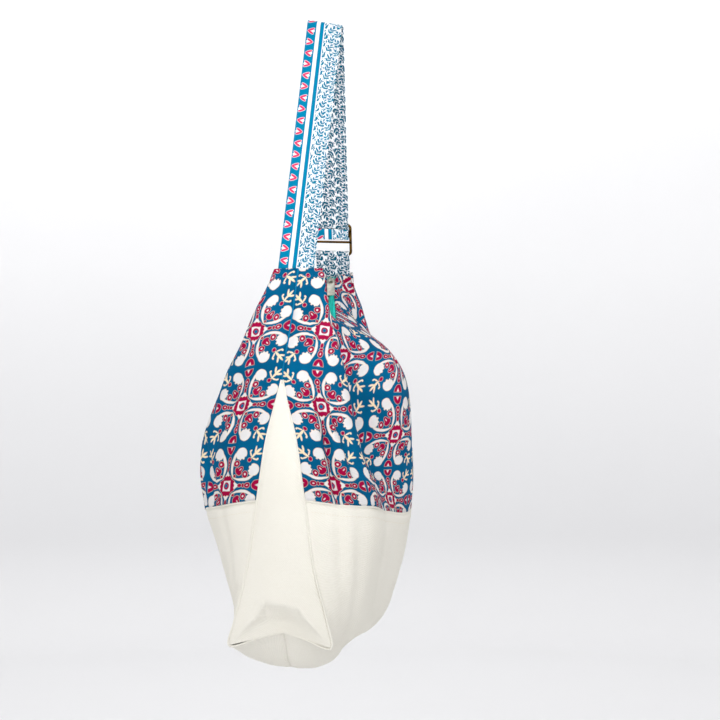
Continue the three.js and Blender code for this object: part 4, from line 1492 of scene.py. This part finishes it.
bm = bmesh.new()
top = slider_under + SLIDER_WALL
reach = SLIDER_LONG / 2
soft_block(bm, (-reach, -PLATE_HALF, slider_under), (reach, PLATE_HALF, top), PLATE_ROUND, ZIP_PLACE)
reach -= CHEEK_SHORT
for hand in (-1, 1):
    inner, outer = sorted((hand * (TEETH_HALF + TAPE_GAP), hand * SLIDER_HALF))
    low, high = (-reach, inner, TAPE_THICK / 2 + TAPE_GAP), (reach, outer, top - CHEEK_SHORT)
    soft_block(bm, low, high, CHEEK_ROUND, ZIP_PLACE)
body = finish_mesh("zip_slider_body", bm, [SILVER])
belongs(body, "zip_slider")
half = BRIDGE_LONG / 2 - BRIDGE_WIRE / 2
crown = top + BRIDGE_RISE - BRIDGE_WIRE / 2
shoulder = [(1 - math.cos(a), crown - 1 + math.sin(a)) for a in np.linspace(0.3, math.pi / 2, 5)]
leg = [(0, top - 0.4), (0, crown - 1), *shoulder]
arch = [zip_spot(-half + x, 0, z) for x, z in leg] + [zip_spot(half - x, 0, z) for x, z in leg[::-1]]
ahead = unit(np.gradient(np.array(arch), axis=0))
sideways = np.tile(zip_across, (len(arch), 1))
section = (sideways, np.cross(ahead, sideways), BRIDGE_WIDE / 2, BRIDGE_WIRE / 2)
belongs(roll("zip_slider_bridge", arch, 1, SILVER, 12, False, section))

print("zip slider made,", SLIDER_LONG, "mm long")

# %% Zip pull
slope = -math.pi / 8
for station in np.arange(3.6, SLIDER_STATION, 0.02):
    away_from = mouth(half_way, np.array([station]))[0] - zip_origin
    away = hinge_along - away_from @ zip_along
    if PULL_HOLE_LONG < away < PULL_LONG + 1:
        lowest = away_from @ zip_out + teeth_top + PULL_CLEAR + PULL_THICK / 2
        slope = max(slope, math.atan2(lowest - hinge_rise, away))
PULL_PLACE = (
    ZIP_PLACE @ Matrix.Translation((hinge_along, 0, hinge_rise)) @ Matrix.Rotation(slope, 4, "Y")
    @ Matrix.Rotation(-math.pi / 2, 4, "Z")
)
bm = bmesh.new()
plate_top = -PULL_RIM - PULL_HOLE_LONG
low, high = (-PULL_WIDE / 2, -PULL_LONG, -PULL_THICK / 2), (PULL_WIDE / 2, plate_top, PULL_THICK / 2)
soft_block(bm, low, high, PULL_ROUND, PULL_PLACE)
plate = finish_mesh("zip_pull_plate", bm, [SILVER])
belongs(plate, "zip_pull", "pull")
print("the pull slopes by", round(math.degrees(slope), 1), "degrees")

# %% Pull loop
def pull_spot(x, y, z=0.0):
    return np.array(PULL_PLACE @ Vector((x, y, z))) / MM


LOOP_ROUND, LOOP_SUNK = 1.2, 0.6
wire_half = PULL_HOLE_HALF + PULL_RIM
leg = [(0, plate_top - LOOP_SUNK), (0, -LOOP_ROUND)]
leg += [(LOOP_ROUND * (1 - math.cos(a)), LOOP_ROUND * (math.sin(a) - 1)) for a in (0.5, 1.0, 1.57)]
loop_path = [pull_spot(-wire_half + x, y) for x, y in leg]
loop_path += [pull_spot(wire_half - x, y) for x, y in leg[::-1]]
belongs(roll("zip_pull_loop", loop_path, PULL_RIM, SILVER, 12), body="pull")
print("the loop is", 2 * wire_half, "mm wide")

# %% [markdown]
# ## Floor, backdrop and light
# Pale paper swept up from the floor gives floor and wall in one, as in a photo studio. A flat sheet behind
# the bag would do for one picture. This one is spun all the way round like a bowl, open at the top, so the
# bag can be seen from every side. Large soft lamps keep the near end bright and the shadows faint.

# %% Floor and backdrop
# the last is the height above the floor, in metres, where the paper's painted light reaches its lightest
FLOOR, STUDIO_RADIUS, COVE, WALL_TOP, PAINTED_LIGHT_RISE = -1.21, 3.0, 0.3, 1.6, 1.1


def studio_paper():
    paper = Finish("studio_paper", 0.95)
    spot = paper.place((1, 1, 1))
    height = paper.node("ShaderNodeSeparateXYZ")
    paper.link(spot, height.inputs["Vector"])
    # Painted light and shade: the paper's colour grades from darker on the floor to lighter up the wall,
    # standing for how the lamps fall there, with a little random noise.
    upwards = ((paper.number(height.outputs["Z"]) - FLOOR) / PAINTED_LIGHT_RISE).math("ADD", 0.0, clamp=True)
    share = upwards * 0.9 + paper.noise(spot, 3) * 0.1
    paper.colour(paper.blend(srgb(225, 225, 226), srgb(242, 242, 243), share))
    return paper.material


bm = bmesh.new()
turns = np.linspace(0, math.pi / 2, 25)
sweep = [(STUDIO_RADIUS - COVE * (1 - math.sin(a)), FLOOR + COVE * (1 - math.cos(a))) for a in turns]
profile = [(0, FLOOR), *sweep, (STUDIO_RADIUS, WALL_TOP)]
verts = [bm.verts.new((reach, 0, rise)) for reach, rise in profile]
edges = [bm.edges.new(pair) for pair in zip(verts, verts[1:])]
bmesh.ops.spin(
    bm, geom=verts + edges, cent=(0, 0, 0), axis=(0, 0, 1), angle=math.tau, steps=96, use_merge=True,
)
bmesh.ops.remove_doubles(bm, verts=bm.verts, dist=1e-5)
bmesh.ops.recalc_face_normals(bm, faces=bm.faces)
lowest = min(bm.faces, key=lambda face: face.calc_center_median().z)
if lowest.normal.z < 0:
    bmesh.ops.reverse_faces(bm, faces=bm.faces)
studio = finish_mesh("studio_cove", bm, [studio_paper()])
print("studio cove has", len(studio.data.polygons), "faces")

# %% Lamps
def lamp(name, spot, aim, size, power, spread=180):
    light = bpy.data.lights.new(name, "AREA")
    light.shape = "DISK"
    light.size = size
    light.energy = power
    light.spread = math.radians(spread)
    holder = bpy.data.objects.new(name, light)
    holder.location = spot
    holder.rotation_euler = (Vector(aim) - Vector(spot)).to_track_quat("-Z", "Y").to_euler()
    bpy.context.collection.objects.link(holder)


lamp("key_lamp", (-2.3, 0.25, 0.35), (0, 0, -0.45), 1.2, 17)
lamp("fill_lamp", (-0.4, -2.3, 0.2), (0, 0, -0.45), 1.6, 3.3)
lamp("strap_lamp", (-1.6, -0.6, -0.5), (0.06, 0, -0.13), 0.5, 0.5, 24)
lamp("top_lamp", (0, 0, 3.2), (0, 0, -1), 5, 80)
lamp("wall_lamp", (1.6, 0.28, 2.2), (2.95, 0.52, 0.0), 1.6, 30)
world = bpy.data.worlds.new("studio_air")
world.use_nodes = True
world.node_tree.nodes["Background"].inputs["Color"].default_value = (1, 1, 1, 1)
world.node_tree.nodes["Background"].inputs["Strength"].default_value = 0.325
bpy.context.scene.world = world
print("lamps:", [light.name for light in bpy.data.lights])
